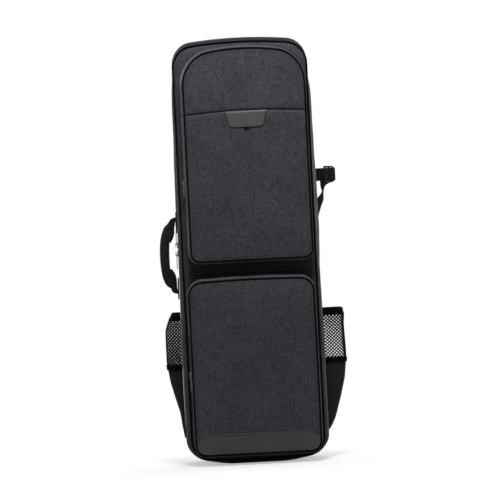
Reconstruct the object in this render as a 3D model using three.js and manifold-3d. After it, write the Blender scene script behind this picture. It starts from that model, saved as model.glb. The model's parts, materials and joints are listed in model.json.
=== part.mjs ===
// Soft case for a tenor saxophone: a tall padded bag that stands on its base.
// It opens like a book: the whole front is a lid that turns on a fabric hinge at the right.
// The lid carries an upper and a lower zipped pocket, whose upper parts fold forward as flaps.
// Each side wall has a mesh bottle pocket, the left wall has the carrying handle,
// and two padded shoulder straps lie on the back.
//
// Millimetres. X runs to the right, Z up, and the front faces -Y.
// The origin is in the middle of the base that the bag stands on.

import * as THREE from 'three';
import { mergeVertices } from 'three/addons/utils/BufferGeometryUtils.js';
import Module from 'manifold-3d';

const wasm = await Module();
wasm.setup();

// Driving sizes of the whole bag

const gap = 0.3;
const overrun = 20;

const bag = {
  halfWidth: 138,
  shoulderHalfWidth: 130,
  height: 820,
  frontY: -88,
  rearY: 88,
  cornerRadius: 38,
  crown: 10,
  baseSag: 11.5,
  baseFlat: 45,
  wall: 9,
  frontTaperFromY: -52,
  rearTaperFromY: 60,
};

// The front and rear faces are a little smaller than the bag's middle
const frontFace = {
  halfWidth: 125.8,
  shoulderHalfWidth: 125.8,
  topInset: 9.5,
  bottomZ: 12,
  sag: 3,
  cornerRadius: 30,
};

const rearFace = {
  halfWidth: 131,
  shoulderHalfWidth: 124,
  topInset: 7,
  bottomZ: 14,
  sag: 8,
  cornerRadius: 34,
};

const taperShares = [1, 0.7, 0];

const lining = { thick: 3, fromRim: 4, clearance: 0.8 };

const piping = { radius: 3, seat: 6.2, sunk: 0.65, sides: 6 };

const zip = {
  y: -30,
  halfGap: 3.4,
  tapeWidth: 11,
  tapeThick: 1.4,
  rebate: 2,
  beadSunk: 0.2,
  beadGap: 0.7,
};

// The pockets' heights: where each starts and its own height are shares of the bag's height,
// its hinge and seam are shares of its own height
const upperPocketSizes = {
  centreX: 2,
  halfWidth: 115.5,
  bottomShare: 0.4762,
  tallShare: 0.4964,
  crown: 17,
  bottomRadius: 17,
  topRadius: 38,
  depth: 38,
  flare: 4,
  wall: 3,
  hingeShare: 0.3968,
  seamShare: 0.7014,
  zipBelowHinge: 22,
};

const lowerPocketSizes = {
  centreX: 0,
  halfWidth: 120,
  bottomShare: 0.0244,
  tallShare: 0.4079,
  crown: 3,
  bottomRadius: 19,
  topRadius: 19,
  depth: 42,
  flare: 1.5,
  wall: 3,
  hingeShare: 0.4903,
  seamShare: 1,
  zipBelowHinge: 22,
};

const pocketZip = {
  depthShare: 0.5,
  halfGap: 2.8,
  tapeWidth: 8,
  tapeThick: 1,
  beadSunk: 1,
  beadGap: 0.7,
};

const badge = {
  centreX: 5.4,
  topHalf: 39,
  bottomHalf: 32,
  tall: 31,
  cornerRadius: 6,
  thick: 1.6,
  bevel: 0.5,
};

const bumper = {
  topZ: 62,
  topHalf: 96,
  shoulderZ: 48,
  fromEdge: 7.5,
  cornerRadius: 12,
  thick: 1.4,
  bevel: 0.4,
};

const slider = {
  long: 12,
  wide: 9,
  tailWide: 6,
  plate: 1.6,
  neckWide: 0.8,
  neckLong: 4,
  innerWide: 4.8,
  waistShare: 0.33,
  shoulderShare: 0.8,
  noseShare: 0.67,
  bailLong: 8,
  bailWide: 2.4,
  bailClear: 2.6,
  bailThick: 1,
};

const pull = {
  long: 30,
  wide: 8,
  thick: 1.6,
  barLong: 1.5,
  windowLong: 8,
  windowWide: 3.6,
  cornerRadius: 2,
  eyeRadius: 1.5,
  eyeFromEnd: 4.5,
};

// The two main sliders meet, with the upper one's pull turned up and the lower one's hanging
const mainSliders = { middleShare: 0.5085, apart: 16 };
const pocketSliderBelowHinge = 8;

const handle = {
  y: 15,
  middleShare: 0.494,
  long: 128,
  reach: 36,
  thick: 19,
  wide: 26,
  axisOut: 10,
  endThick: 11,
  endWide: 12,
  stub: 6,
  patchTall: 42,
  patchWide: 34,
  patchThick: 2.4,
  tabLong: 10,
  clearance: 0.5,
  edgeShare: 0.6,
  roundness: 0.7,
};

const bottle = {
  frontY: -14,
  rearY: 72,
  bottomZ: 52,
  meshZ: 192,
  bindingZ: 280,
  topZ: 294,
  cornerRadius: 14,
  cornerShare: 0.9,
  wall: 2,
  bindingWall: 3.4,
  leftReach: 31,
  rightReach: 38,
  leftMouthShare: 0.8,
  rightMouthShare: 0.93,
};

// How far a bottle pocket stands out, against how high up it is
const bottleFullnessShares = [
  [0, 0.1],
  [0.09, 0.22],
  [0.2, 0.32],
  [0.33, 0.6],
  [0.45, 0.84],
  [0.58, 0.98],
  [0.7, 1],
  [0.86, 0.98],
];

const backPad = {
  halfWidth: 88,
  lowerFromShare: 0.11,
  lowerToShare: 0.512,
  upperFromShare: 0.532,
  upperToShare: 0.829,
  cornerRadius: 24,
  thick: 9,
  bevel: 3,
};

const strap = {
  padThick: 11,
  padWide: 60,
  padEndWide: 34,
  webWide: 25,
  webThick: 1.8,
  yokeHalfWidth: 70,
  edgeShare: 0.6,
  yokeFromShare: 0.854,
  yokeToShare: 0.946,
  yokeThick: 3,
  anchorShare: 0.421,
  anchorWide: 34,
  anchorTall: 36,
  anchorThick: 2.4,
  cornerRadius: 6,
};

const lock = {
  wide: 33,
  long: 28,
  thick: 3.6,
  rail: 3.4,
  bar: 3.2,
  tipShare: 0.85,
  foldShare: 0.3,
};

// Routes of the shoulder straps, in shares of the bag's half width and of its height
const rightPadShares = [
  [0.24, 0.905], [0.33, 0.86], [0.46, 0.8], [0.61, 0.743], [0.76, 0.7], [0.89, 0.68],
];
const leftPadShares = [[-0.24, 0.905], [-0.35, 0.84], [-0.47, 0.75], [-0.58, 0.66], [-0.66, 0.59]];
const rightLockShares = [1.225, 0.67];
const leftLockShares = [-0.745, 0.515];
const rightLockTurn = 48;

// The tail's way down to its anchor: across and up in shares of the bag, out in shares of the lock
const tailShares = [[1.12, 0.62, 0.44], [1.03, 0.595, 0.15], [0.91, 0.545, 0], [0.8, 0.49, 0]];

// The tail's turn behind the right lock: along it, out and up in shares of the lock's length,
// and the share of the lean from upright to edge on
const tailTurnShares = [
  [0.72, -0.17, 0, 0], [0.8, -0.43, -0.06, 0.07], [0.56, -0.67, -0.25, 0.29],
  [0.34, -0.66, -0.61, 0.49], [0.08, -0.6, -0.92, 0.8],
];

// The cradles' heights are shares of the bag's height
const cradle = {
  fromShare: 0.0366,
  bellTopShare: 0.305,
  bodyFromShare: 0.3195,
  bodyTopShare: 0.683,
  neckFromShare: 0.756,
  neckTopShare: 0.9634,
  bowShare: 0.1366,
  bellRimShare: 0.5244,
  frontY: -14,
  bellX: 44,
  bellTopRadius: 74,
  bellThroatRadius: 34,
  tubeX: -52,
  tubeLowRadius: 36,
  tubeHighRadius: 24,
  neckRadius: 20,
  neckHalf: 70,
  slotDeep: 60,
};

const retainer = { wide: 38, thick: 2.2, heightShare: 0.61, arch: 5 };

// Colours and finishes

const finish = {
  heather: { color: 0x36353a, roughness: 0.92, metalness: 0 },
  gusset: { color: 0x232326, roughness: 0.9, metalness: 0 },
  trim: { color: 0x17171a, roughness: 0.7, metalness: 0 },
  tape: { color: 0x1c1c1f, roughness: 0.85, metalness: 0 },
  leather: { color: 0x35363b, roughness: 0.5, metalness: 0 },
  badge: { color: 0x45464a, roughness: 0.55, metalness: 0 },
  mesh: { color: 0x1a1a1c, roughness: 0.9, metalness: 0 },
  plush: { color: 0x2b2b30, roughness: 1, metalness: 0 },
  metal: { color: 0xb9bbbf, roughness: 0.3, metalness: 1 },
  plastic: { color: 0x18181a, roughness: 0.45, metalness: 0 },
};

// Solids and sweeps

function closedGeometry(points, triangles) {
  const positions = [];
  for (const p of points) positions.push(p.x, p.y, p.z);
  let volume = 0;
  for (const [a, b, c] of triangles) {
    const cross = new THREE.Vector3().crossVectors(points[b], points[c]);
    volume += points[a].dot(cross);
  }
  const index = [];
  for (const [a, b, c] of triangles) {
    if (volume > 0) index.push(a, b, c);
    else index.push(a, c, b);
  }
  const geometry = new THREE.BufferGeometry();
  geometry.setAttribute('position', new THREE.Float32BufferAttribute(positions, 3));
  geometry.setIndex(index);
  return geometry;
}

// Rings of equal count joined one to the next. Without flats the last ring joins the first.
// With flats, the two end rings are capped, and flats holds each end ring drawn flat.
// A thin strip that twists is split along the shorter way, so that its two faces stay apart.
function loft(rings, flats, twists = false) {
  const count = rings[0].length;
  const points = rings.flat();
  const triangles = [];
  const steps = flats ? rings.length - 1 : rings.length;
  for (let r = 0; r < steps; r += 1) {
    const here = r * count;
    const there = ((r + 1) % rings.length) * count;
    for (let i = 0; i < count; i += 1) {
      const j = (i + 1) % count;
      const across = points[here + i].distanceTo(points[there + j]);
      const other = points[here + j].distanceTo(points[there + i]);
      if (twists && other < across) {
        triangles.push([here + i, here + j, there + i]);
        triangles.push([here + j, there + j, there + i]);
      } else {
        triangles.push([here + i, here + j, there + j]);
        triangles.push([here + i, there + j, there + i]);
      }
    }
  }
  if (flats) {
    const ends = [0, (rings.length - 1) * count];
    flats.forEach((flat, e) => {
      const same = THREE.ShapeUtils.isClockWise(flat) === (e === 0);
      for (const [a, b, c] of THREE.ShapeUtils.triangulateShape(flat, [])) {
        const at = ends[e];
        triangles.push(same ? [at + a, at + b, at + c] : [at + a, at + c, at + b]);
      }
    });
  }
  return closedGeometry(points, triangles);
}

// Closed outline in the X and Z plane, as points with their outward direction
function withNormals(points) {
  const count = points.length;
  return points.map((p, i) => {
    const before = points[(i + count - 1) % count];
    const after = points[(i + 1) % count];
    const along = new THREE.Vector2(after.x - before.x, after.y - before.y).normalize();
    return { x: p.x, z: p.y, nx: along.y, nz: -along.x };
  });
}

function spread(from, to, steps) {
  return Array.from({ length: steps }, (_, i) => from + ((to - from) * i) / steps);
}

// A rounded rectangle, anticlockwise from the left end of its bottom edge
function roundedOutline(left, right, bottom, top, lowRadius, highRadius, steps) {
  const points = [];
  const corner = (x, z, radius, from) => {
    for (const angle of spread(from, from + Math.PI / 2, steps.corner)) {
      points.push(new THREE.Vector2(x + radius * Math.cos(angle), z + radius * Math.sin(angle)));
    }
  };
  for (const x of spread(left + lowRadius, right - lowRadius, steps.across)) {
    points.push(new THREE.Vector2(x, bottom));
  }
  corner(right - lowRadius, bottom + lowRadius, lowRadius, -Math.PI / 2);
  for (const z of spread(bottom + lowRadius, top - highRadius, steps.up)) {
    points.push(new THREE.Vector2(right, z));
  }
  corner(right - highRadius, top - highRadius, highRadius, 0);
  for (const x of spread(right - highRadius, left + highRadius, steps.across)) {
    points.push(new THREE.Vector2(x, top));
  }
  corner(left + highRadius, top - highRadius, highRadius, Math.PI / 2);
  for (const z of spread(top - highRadius, bottom + lowRadius, steps.up)) {
    points.push(new THREE.Vector2(left, z));
  }
  corner(left + lowRadius, bottom + lowRadius, lowRadius, Math.PI);
  return points;
}

function heightOf(share) {
  return share * bag.height;
}

function withHeights(pocket) {
  const bottomZ = heightOf(pocket.bottomShare);
  const tall = heightOf(pocket.tallShare);
  const hingeZ = bottomZ + pocket.hingeShare * tall;
  return {
    ...pocket,
    bottomZ,
    topZ: bottomZ + tall,
    hingeZ,
    zipFromZ: hingeZ - pocket.zipBelowHinge,
    seamZ: bottomZ + pocket.seamShare * tall,
  };
}

const upperPocket = withHeights(upperPocketSizes);
const lowerPocket = withHeights(lowerPocketSizes);

// The straight stretch of a side wall, between its rounded corners
const wallFromZ = bag.baseSag + bag.cornerRadius;
const wallToZ = bag.height - bag.crown - bag.cornerRadius;
const wallSteps = 4;
const narrowFromZ = wallFromZ + (wallToZ - wallFromZ) / wallSteps;

// Half width at a height: the bag narrows steadily towards the shoulders
function halfWidthAt(z, low, high) {
  const share = (z - narrowFromZ) / (wallToZ - narrowFromZ);
  return low + (high - low) * THREE.MathUtils.clamp(share, 0, 1);
}

function bagHalfWidth(z) {
  return halfWidthAt(z, bag.halfWidth, bag.shoulderHalfWidth);
}

// One outline of the bag: flat under the middle, lifted at the sides of the base, crowned on top
function bagOutline(face) {
  const top = bag.height - bag.crown - face.topInset;
  const middle = bag.height / 2;
  const radius = face.cornerRadius;
  const width = face.halfWidth;
  const steps = { across: 7, corner: 4, up: wallSteps };
  const raw = roundedOutline(-width, width, face.bottomZ, top, radius, radius, steps);
  return raw.map((p) => {
    const share = Math.abs(p.x) / width;
    if (p.y > middle) {
      p.y += bag.crown * (1 - share * share);
    } else if (p.y < face.bottomZ + radius) {
      const lift = (Math.abs(p.x) - bag.baseFlat) / (width - bag.baseFlat);
      p.y -= face.sag * (1 - THREE.MathUtils.smoothstep(lift, 0, 1));
    }
    p.x *= halfWidthAt(p.y, width, face.shoulderHalfWidth) / width;
    return p;
  });
}

function pocketOutline(pocket) {
  const left = pocket.centreX - pocket.halfWidth;
  const right = pocket.centreX + pocket.halfWidth;
  const top = pocket.topZ - pocket.crown;
  const middle = (pocket.bottomZ + pocket.topZ) / 2;
  const steps = { across: 6, corner: 4, up: 1 };
  const raw = roundedOutline(
    left, right, pocket.bottomZ, top, pocket.bottomRadius, pocket.topRadius, steps,
  );
  return withNormals(raw.map((p) => {
    const share = (p.x - pocket.centreX) / pocket.halfWidth;
    if (p.y > middle) p.y += pocket.crown * (1 - share * share);
    return p;
  }));
}

function ringAt(outline, [out, y]) {
  return outline.map((p) => new THREE.Vector3(p.x + out * p.nx, y, p.z + out * p.nz));
}

// A profile of [outwards, y] pairs swept round a closed outline. A closed profile gives a frame,
// an open one gives a tray whose two ends are flat panels.
function frameRound(outline, profile) {
  return loft(profile.map((step) => ringAt(outline, step)));
}

function cappedTray(rings) {
  const drawnFlat = (ring) => ring.map((p) => new THREE.Vector2(p.x, p.z));
  return loft(rings, [drawnFlat(rings[0]), drawnFlat(rings[rings.length - 1])]);
}

function trayRound(outline, profile) {
  return cappedTray(profile.map((step) => ringAt(outline, step)));
}

// A closed profile swept along a stretch of an outline, with its two ends capped
function stripAlong(points, profile) {
  const rings = points.map((p) => profile.map(([out, y]) => (
    new THREE.Vector3(p.x + out * p.nx, y, p.z + out * p.nz)
  )));
  const flat = profile.map(([out, y]) => new THREE.Vector2(out, y));
  return loft(rings, [flat, flat]);
}

function pipingProfile(out, y) {
  return Array.from({ length: piping.sides }, (_, i) => {
    const angle = (i * 2 * Math.PI) / piping.sides;
    return [out + piping.radius * Math.cos(angle), y + piping.radius * Math.sin(angle)];
  });
}

// Solid modelling: unions and cuts

function toSolid(geometry) {
  const bare = geometry.clone();
  bare.deleteAttribute('normal');
  bare.deleteAttribute('uv');
  const merged = mergeVertices(bare, 1e-4);
  return new wasm.Manifold(new wasm.Mesh({
    numProp: 3,
    vertProperties: new Float32Array(merged.attributes.position.array),
    triVerts: new Uint32Array(merged.index.array),
  }));
}

function toGeometry(solid) {
  const mesh = solid.getMesh();
  const geometry = new THREE.BufferGeometry();
  const positions = [];
  for (let i = 0; i < mesh.numVert; i += 1) {
    const at = i * mesh.numProp;
    positions.push(...mesh.vertProperties.slice(at, at + 3));
  }
  geometry.setAttribute('position', new THREE.Float32BufferAttribute(positions, 3));
  geometry.setIndex(Array.from(mesh.triVerts));
  return geometry;
}

function joined(first, ...others) {
  return toGeometry(others.reduce((solid, other) => solid.add(toSolid(other)), toSolid(first)));
}

function cut(first, ...tools) {
  return toGeometry(tools.reduce((solid, tool) => solid.subtract(toSolid(tool)), toSolid(first)));
}

function kept(first, tool) {
  return toGeometry(toSolid(first).intersect(toSolid(tool)));
}

function block(x0, x1, y0, y1, z0, z1) {
  const geometry = new THREE.BoxGeometry(x1 - x0, y1 - y0, z1 - z0);
  return geometry.translate((x0 + x1) / 2, (y0 + y1) / 2, (z0 + z1) / 2);
}

// A slab over the whole bag between two heights, to keep or cut a band of a swept piece
function band(z0, z1) {
  const wide = 2 * bag.halfWidth;
  const deep = bag.height;
  return block(-wide, wide, -deep, deep, z0, z1);
}

// A flat shape drawn in X and Z, given thickness towards -Y from the plane y
function plateAt(shape, y, thick, bevel) {
  const geometry = new THREE.ExtrudeGeometry(shape, {
    depth: thick - bevel,
    bevelEnabled: bevel > 0,
    bevelThickness: bevel / 2,
    bevelSize: bevel,
    bevelOffset: -bevel,
    bevelSegments: 1,
    curveSegments: 5,
  });
  geometry.rotateX(Math.PI / 2);
  return geometry.translate(0, y - bevel / 2, 0);
}

function roundedShape(x0, x1, z0, z1, radius) {
  const shape = new THREE.Shape();
  shape.moveTo(x0 + radius, z0);
  shape.lineTo(x1 - radius, z0);
  shape.absarc(x1 - radius, z0 + radius, radius, -Math.PI / 2, 0);
  shape.lineTo(x1, z1 - radius);
  shape.absarc(x1 - radius, z1 - radius, radius, 0, Math.PI / 2);
  shape.lineTo(x0 + radius, z1);
  shape.absarc(x0 + radius, z1 - radius, radius, Math.PI / 2, Math.PI);
  shape.lineTo(x0, z0 + radius);
  shape.absarc(x0 + radius, z0 + radius, radius, Math.PI, 1.5 * Math.PI);
  return shape;
}

// A strap along a route. Each stop has its place, the direction of the strap's width there,
// its width and its thickness. A soft strap has its long edges cut back.
function ribbon(stops, edgeShare) {
  let flat;
  const rings = stops.map((stop, i) => {
    const before = stops[Math.max(i - 1, 0)].at;
    const after = stops[Math.min(i + 1, stops.length - 1)].at;
    const along = after.clone().sub(before).normalize();
    const face = new THREE.Vector3().crossVectors(along, stop.side).normalize();
    const side = new THREE.Vector3().crossVectors(face, along).normalize();
    const a = stop.width / 2;
    const b = stop.thick / 2;
    const c = b * edgeShare;
    const quarter = edgeShare > 0 ? [[a, b - c], [a - c, b]] : [[a, b]];
    const mirrored = quarter.map(([u, v]) => [-u, v]).reverse();
    const half = [...quarter, ...mirrored];
    const corners = [...half, ...half.map(([u, v]) => [-u, -v])];
    flat = corners.map(([u, v]) => new THREE.Vector2(u, v));
    return corners.map(([u, v]) => (
      stop.at.clone().addScaledVector(side, u).addScaledVector(face, v)
    ));
  });
  return loft(rings, [flat, flat], true);
}

// A flat shape drawn in Y and Z, given thickness towards +X from the plane x
function plateAcross(shape, x, thick) {
  const geometry = new THREE.ExtrudeGeometry(shape, {
    depth: thick, bevelEnabled: false, curveSegments: 4,
  });
  geometry.applyMatrix4(new THREE.Matrix4().makeBasis(
    new THREE.Vector3(0, 1, 0), new THREE.Vector3(0, 0, 1), new THREE.Vector3(1, 0, 0),
  ));
  return geometry.translate(x, 0, 0);
}

// Scene graph helpers

const saxophoneBag = new THREE.Group();

function material(look) {
  return new THREE.MeshStandardMaterial({ ...look, flatShading: true });
}

function add(name, geometry, look) {
  const mesh = new THREE.Mesh(geometry, material(look));
  mesh.name = name;
  saxophoneBag.add(mesh);
  return mesh;
}

// Body: rear shell, lid and what is sewn round their edges

const middleFace = {
  halfWidth: bag.halfWidth,
  shoulderHalfWidth: bag.shoulderHalfWidth,
  topInset: 0,
  bottomZ: bag.baseSag,
  sag: bag.baseSag,
  cornerRadius: bag.cornerRadius,
};
const middleOutline = bagOutline(middleFace);
const outline = withNormals(middleOutline);
const rimRear = zip.y + zip.halfGap;
const rimFront = zip.y - zip.halfGap;

// The bag's outline part of the way from its middle to one of its faces
function outlineTowards(face, share) {
  const end = bagOutline(face);
  return withNormals(middleOutline.map((p, i) => p.clone().lerp(end[i], share)));
}

// A half of the case: its rings run from the face, along the wall and round the rim to the inside.
// Each step has the share of the way to the face, the distance outwards and the depth.
function caseTray(face, steps) {
  const rings = steps.map(([share, out, y]) => ringAt(outlineTowards(face, share), [out, y]));
  return cappedTray(rings);
}

// The padded wall and face, with a rebate outside the rim for the zip tape
function caseHalf(face, rimY, faceY, taperFromY) {
  const way = Math.sign(faceY - rimY);
  const seat = piping.seat;
  const wallAt = (share) => [share * share, 0, taperFromY + (faceY - way * seat - taperFromY) * share];
  const rebateY = rimY + way * (zip.tapeWidth + 2 * gap);
  return caseTray(face, [
    [1, -seat, faceY],
    ...taperShares.map(wallAt),
    [0, 0, rebateY],
    [0, -zip.rebate, rebateY],
    [0, -zip.rebate, rimY],
    [0, -bag.wall, rimY],
    [0, -bag.wall, taperFromY],
    [1, -bag.wall, faceY - way * bag.wall],
  ]);
}

// A step at some distance inside the padded wall, level with it from the rim to the face
function insideStep(faceY, taperFromY, distance, y) {
  const way = Math.sign(faceY - taperFromY);
  const share = (y - taperFromY) / (faceY - way * bag.wall - taperFromY);
  return [Math.max(share, 0), -distance, y];
}

function caseLining(face, rimY, faceY, taperFromY) {
  const way = Math.sign(faceY - rimY);
  const outer = bag.wall + lining.clearance;
  const inner = outer + lining.thick;
  const at = (distance, y) => insideStep(faceY, taperFromY, distance, y);
  return caseTray(face, [
    at(inner, faceY - way * inner),
    at(inner, taperFromY),
    at(inner, rimY + way * lining.fromRim),
    at(outer, rimY + way * lining.fromRim),
    at(outer, taperFromY),
    at(outer, faceY - way * outer),
  ]);
}

function edgePiping(face, faceY, rimY) {
  const way = Math.sign(faceY - rimY);
  return frameRound(
    outlineTowards(face, 1), pipingProfile(-piping.sunk, faceY - way * piping.sunk),
  );
}

const rear = [rearFace, rimRear, bag.rearY, bag.rearTaperFromY];
const lid = [frontFace, rimFront, bag.frontY, bag.frontTaperFromY];
add('rear_shell', caseHalf(...rear), finish.gusset);
add('lid_shell', caseHalf(...lid), finish.gusset);
add('rear_lining', caseLining(...rear), finish.plush);
add('lid_lining', caseLining(...lid), finish.plush);
add('rear_piping', edgePiping(rearFace, bag.rearY, rimRear), finish.trim);
add('front_piping', edgePiping(frontFace, bag.frontY, rimFront), finish.trim);

// Main zip: it runs from the foot of the right wall round the base, the left wall and the top

const onHinge = outline.map((p) => p.x > 0 && p.z > wallFromZ - gap && p.z < wallToZ + gap);
const hingeFirst = onHinge.indexOf(true);
const hingeLast = onHinge.lastIndexOf(true);
const hingeWall = outline.slice(hingeFirst, hingeLast + 1);
const zipPath = [...outline.slice(hingeLast), ...outline.slice(0, hingeFirst + 1)];

function mainTape(way) {
  const at = (distance) => zip.y + way * distance;
  const inner = -zip.rebate + gap;
  const outer = inner + zip.tapeThick;
  const bead = zip.halfGap - gap;
  return stripAlong(zipPath, [
    [inner, at(zip.beadGap)],
    [inner, at(zip.halfGap + zip.tapeWidth)],
    [outer, at(zip.halfGap + zip.tapeWidth)],
    [outer, at(bead)],
    [-zip.beadSunk, at(bead)],
    [-zip.beadSunk, at(zip.beadGap)],
  ]);
}

function hingeStrip() {
  const inner = -zip.rebate + gap;
  const outer = inner + zip.tapeThick;
  const half = zip.halfGap + zip.tapeWidth;
  const trimmed = hingeWall.map((p, i) => {
    if (i === 0) return { ...p, z: p.z + gap };
    if (i === hingeWall.length - 1) return { ...p, z: p.z - gap };
    return p;
  });
  return stripAlong(trimmed, [
    [inner, zip.y - half], [outer, zip.y - half], [outer, zip.y + half], [inner, zip.y + half],
  ]);
}

add('rear_zip_tape', mainTape(1), finish.tape);
add('lid_zip_tape', mainTape(-1), finish.tape);
add('fabric_hinge', hingeStrip(), finish.gusset);

// Pockets on the lid: a gusset round the back, and a front tray cut across at the flap's hinge

function pocketPlan(pocket) {
  const shape = pocketOutline(pocket);
  const backY = bag.frontY - gap;
  const faceY = bag.frontY - pocket.depth;
  const zipY = backY + (faceY - backY) * pocketZip.depthShare;
  const outAt = (y) => (pocket.flare * (y - faceY)) / (backY - faceY);
  return { shape, backY, faceY, zipY, outAt };
}

// Beside the zip the gusset stops at the zip's gap, and below it runs on to the front tray
function pocketGusset(pocket) {
  const { shape, backY, zipY, outAt } = pocketPlan(pocket);
  const ringTo = (edgeY) => frameRound(shape, [
    [outAt(backY), backY],
    [outAt(edgeY), edgeY],
    [outAt(edgeY) - pocket.wall, edgeY],
    [outAt(backY) - pocket.wall, backY],
  ]);
  const fixedPart = kept(
    ringTo(zipY - pocketZip.halfGap + gap), band(-overrun, pocket.zipFromZ - gap),
  );
  return joined(ringTo(zipY + pocketZip.halfGap), fixedPart);
}

function pocketTray(pocket) {
  const { shape, faceY, zipY, outAt } = pocketPlan(pocket);
  const edgeY = zipY - pocketZip.halfGap;
  const seat = piping.seat;
  const turn = seat - pocket.wall;
  return trayRound(shape, [
    [-seat, faceY],
    [0, faceY + seat],
    [outAt(edgeY), edgeY],
    [outAt(edgeY) - pocket.wall, edgeY],
    [outAt(faceY + seat + turn) - pocket.wall, faceY + seat + turn],
    [-seat - turn, faceY + pocket.wall],
  ]);
}

function pocketTape(pocket, way, fromZ) {
  const { shape, zipY, outAt } = pocketPlan(pocket);
  const at = (out, distance) => {
    const y = zipY + way * distance;
    return [outAt(y) + out, y];
  };
  const outer = -pocket.wall - gap;
  const inner = outer - pocketZip.tapeThick;
  const bead = pocketZip.halfGap - gap;
  const tape = frameRound(shape, [
    at(inner, pocketZip.beadGap),
    at(-pocketZip.beadSunk, pocketZip.beadGap),
    at(-pocketZip.beadSunk, bead),
    at(outer, bead),
    at(outer, pocketZip.tapeWidth),
    at(inner, pocketZip.tapeWidth),
  ]);
  return kept(tape, band(fromZ, bag.height));
}

function addPocket(name, pocket, seams) {
  const { shape, faceY } = pocketPlan(pocket);
  const tray = pocketTray(pocket);
  const cord = frameRound(shape, pipingProfile(-piping.sunk, faceY + piping.sunk));
  const below = band(-overrun, pocket.hingeZ - gap);
  const above = band(pocket.hingeZ + gap, bag.height);
  add(`${name}_gusset`, pocketGusset(pocket), finish.heather);
  add(`${name}_panel`, kept(tray, below), finish.heather);
  add(`${name}_piping`, kept(cord, below), finish.trim);
  add(`${name}_zip_tape`, pocketTape(pocket, 1, pocket.zipFromZ), finish.tape);
  add(`${name}_flap_tape`, pocketTape(pocket, -1, pocket.hingeZ + gap), finish.tape);
  add(`${name}_flap_piping`, kept(cord, above), finish.trim);
  let fromZ = pocket.hingeZ + gap;
  for (const [piece, toZ] of seams) {
    add(`${name}_${piece}`, kept(tray, band(fromZ, toZ)), finish.heather);
    fromZ = toZ + gap;
  }
}

addPocket('upper_pocket', upperPocket, [['flap', upperPocket.seamZ], ['yoke', bag.height]]);
addPocket('lower_pocket', lowerPocket, [['flap', bag.height]]);

function badgeShape() {
  const top = upperPocket.seamZ;
  const bottom = top - badge.tall;
  const radius = badge.cornerRadius;
  const shape = new THREE.Shape();
  shape.moveTo(badge.centreX - badge.topHalf, top);
  shape.lineTo(badge.centreX - badge.bottomHalf - radius / 2, bottom + radius);
  shape.quadraticCurveTo(
    badge.centreX - badge.bottomHalf, bottom, badge.centreX - badge.bottomHalf + radius, bottom,
  );
  shape.lineTo(badge.centreX + badge.bottomHalf - radius, bottom);
  shape.quadraticCurveTo(
    badge.centreX + badge.bottomHalf, bottom,
    badge.centreX + badge.bottomHalf + radius / 2, bottom + radius,
  );
  shape.lineTo(badge.centreX + badge.topHalf, top);
  return shape;
}

function bumperShape() {
  const half = lowerPocket.halfWidth - bumper.fromEdge;
  const bottom = lowerPocket.bottomZ + bumper.fromEdge;
  const radius = bumper.cornerRadius;
  const shape = new THREE.Shape();
  shape.moveTo(-half, bumper.shoulderZ);
  shape.lineTo(-half, bottom + radius);
  shape.absarc(-half + radius, bottom + radius, radius, Math.PI, 1.5 * Math.PI);
  shape.absarc(half - radius, bottom + radius, radius, -Math.PI / 2, 0);
  shape.lineTo(half, bumper.shoulderZ);
  shape.lineTo(bumper.topHalf, bumper.topZ);
  shape.lineTo(-bumper.topHalf, bumper.topZ);
  return shape;
}

add(
  'badge',
  plateAt(badgeShape(), pocketPlan(upperPocket).faceY - gap, badge.thick, badge.bevel),
  finish.badge,
);
add(
  'bumper_patch',
  plateAt(bumperShape(), pocketPlan(lowerPocket).faceY - gap, bumper.thick, bumper.bevel),
  finish.leather,
);

// Zip sliders and pulls, drawn with +X away from the zip and Z along it

function sliderPlate(wide, tailWide) {
  const half = slider.long / 2;
  const shape = new THREE.Shape();
  shape.moveTo(-tailWide / 2, -half);
  shape.lineTo(tailWide / 2, -half);
  shape.lineTo(wide / 2, half * slider.waistShare);
  shape.lineTo(wide / 2, half * slider.shoulderShare);
  shape.lineTo(wide * slider.noseShare / 2, half);
  shape.lineTo(-wide * slider.noseShare / 2, half);
  shape.lineTo(-wide / 2, half * slider.shoulderShare);
  shape.lineTo(-wide / 2, half * slider.waistShare);
  return shape;
}

function sliderBody(outerX, innerX) {
  const shell = sliderPlate(slider.wide, slider.tailWide);
  const back = sliderPlate(slider.innerWide, slider.innerWide);
  const neck = block(
    innerX - slider.plate / 2, outerX + slider.plate / 2,
    -slider.neckWide / 2, slider.neckWide / 2,
    -slider.neckLong / 2, slider.neckLong / 2,
  );
  const top = outerX + slider.plate;
  const high = slider.bailClear + slider.bailThick;
  const bail = cut(
    block(
      top - slider.plate / 2, top + high,
      -slider.bailWide / 2, slider.bailWide / 2, -slider.bailLong / 2, slider.bailLong / 2,
    ),
    block(
      top, top + slider.bailClear,
      -slider.bailWide, slider.bailWide,
      slider.bailThick - slider.bailLong / 2, slider.bailLong / 2 - slider.bailThick,
    ),
  );
  return joined(
    plateAcross(shell, outerX, slider.plate),
    plateAcross(back, innerX - slider.plate, slider.plate),
    neck,
    bail,
  );
}

function pullTab() {
  const bar = pull.barLong / 2;
  const half = pull.wide / 2;
  const tab = new THREE.Shape();
  const radius = pull.cornerRadius;
  tab.moveTo(-half, bar);
  tab.lineTo(-half, radius - pull.long);
  tab.absarc(radius - half, radius - pull.long, radius, Math.PI, 1.5 * Math.PI);
  tab.absarc(half - radius, radius - pull.long, radius, -Math.PI / 2, 0);
  tab.lineTo(half, bar);
  const window = new THREE.Path();
  window.moveTo(-pull.windowWide / 2, -bar);
  window.lineTo(pull.windowWide / 2, -bar);
  window.lineTo(pull.windowWide / 2, -pull.windowLong);
  window.lineTo(-pull.windowWide / 2, -pull.windowLong);
  const eye = new THREE.Path();
  eye.absarc(0, pull.eyeFromEnd - pull.long, pull.eyeRadius, 0, 2 * Math.PI);
  tab.holes.push(window, eye);
  return plateAcross(tab, -pull.thick / 2, pull.thick);
}

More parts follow.
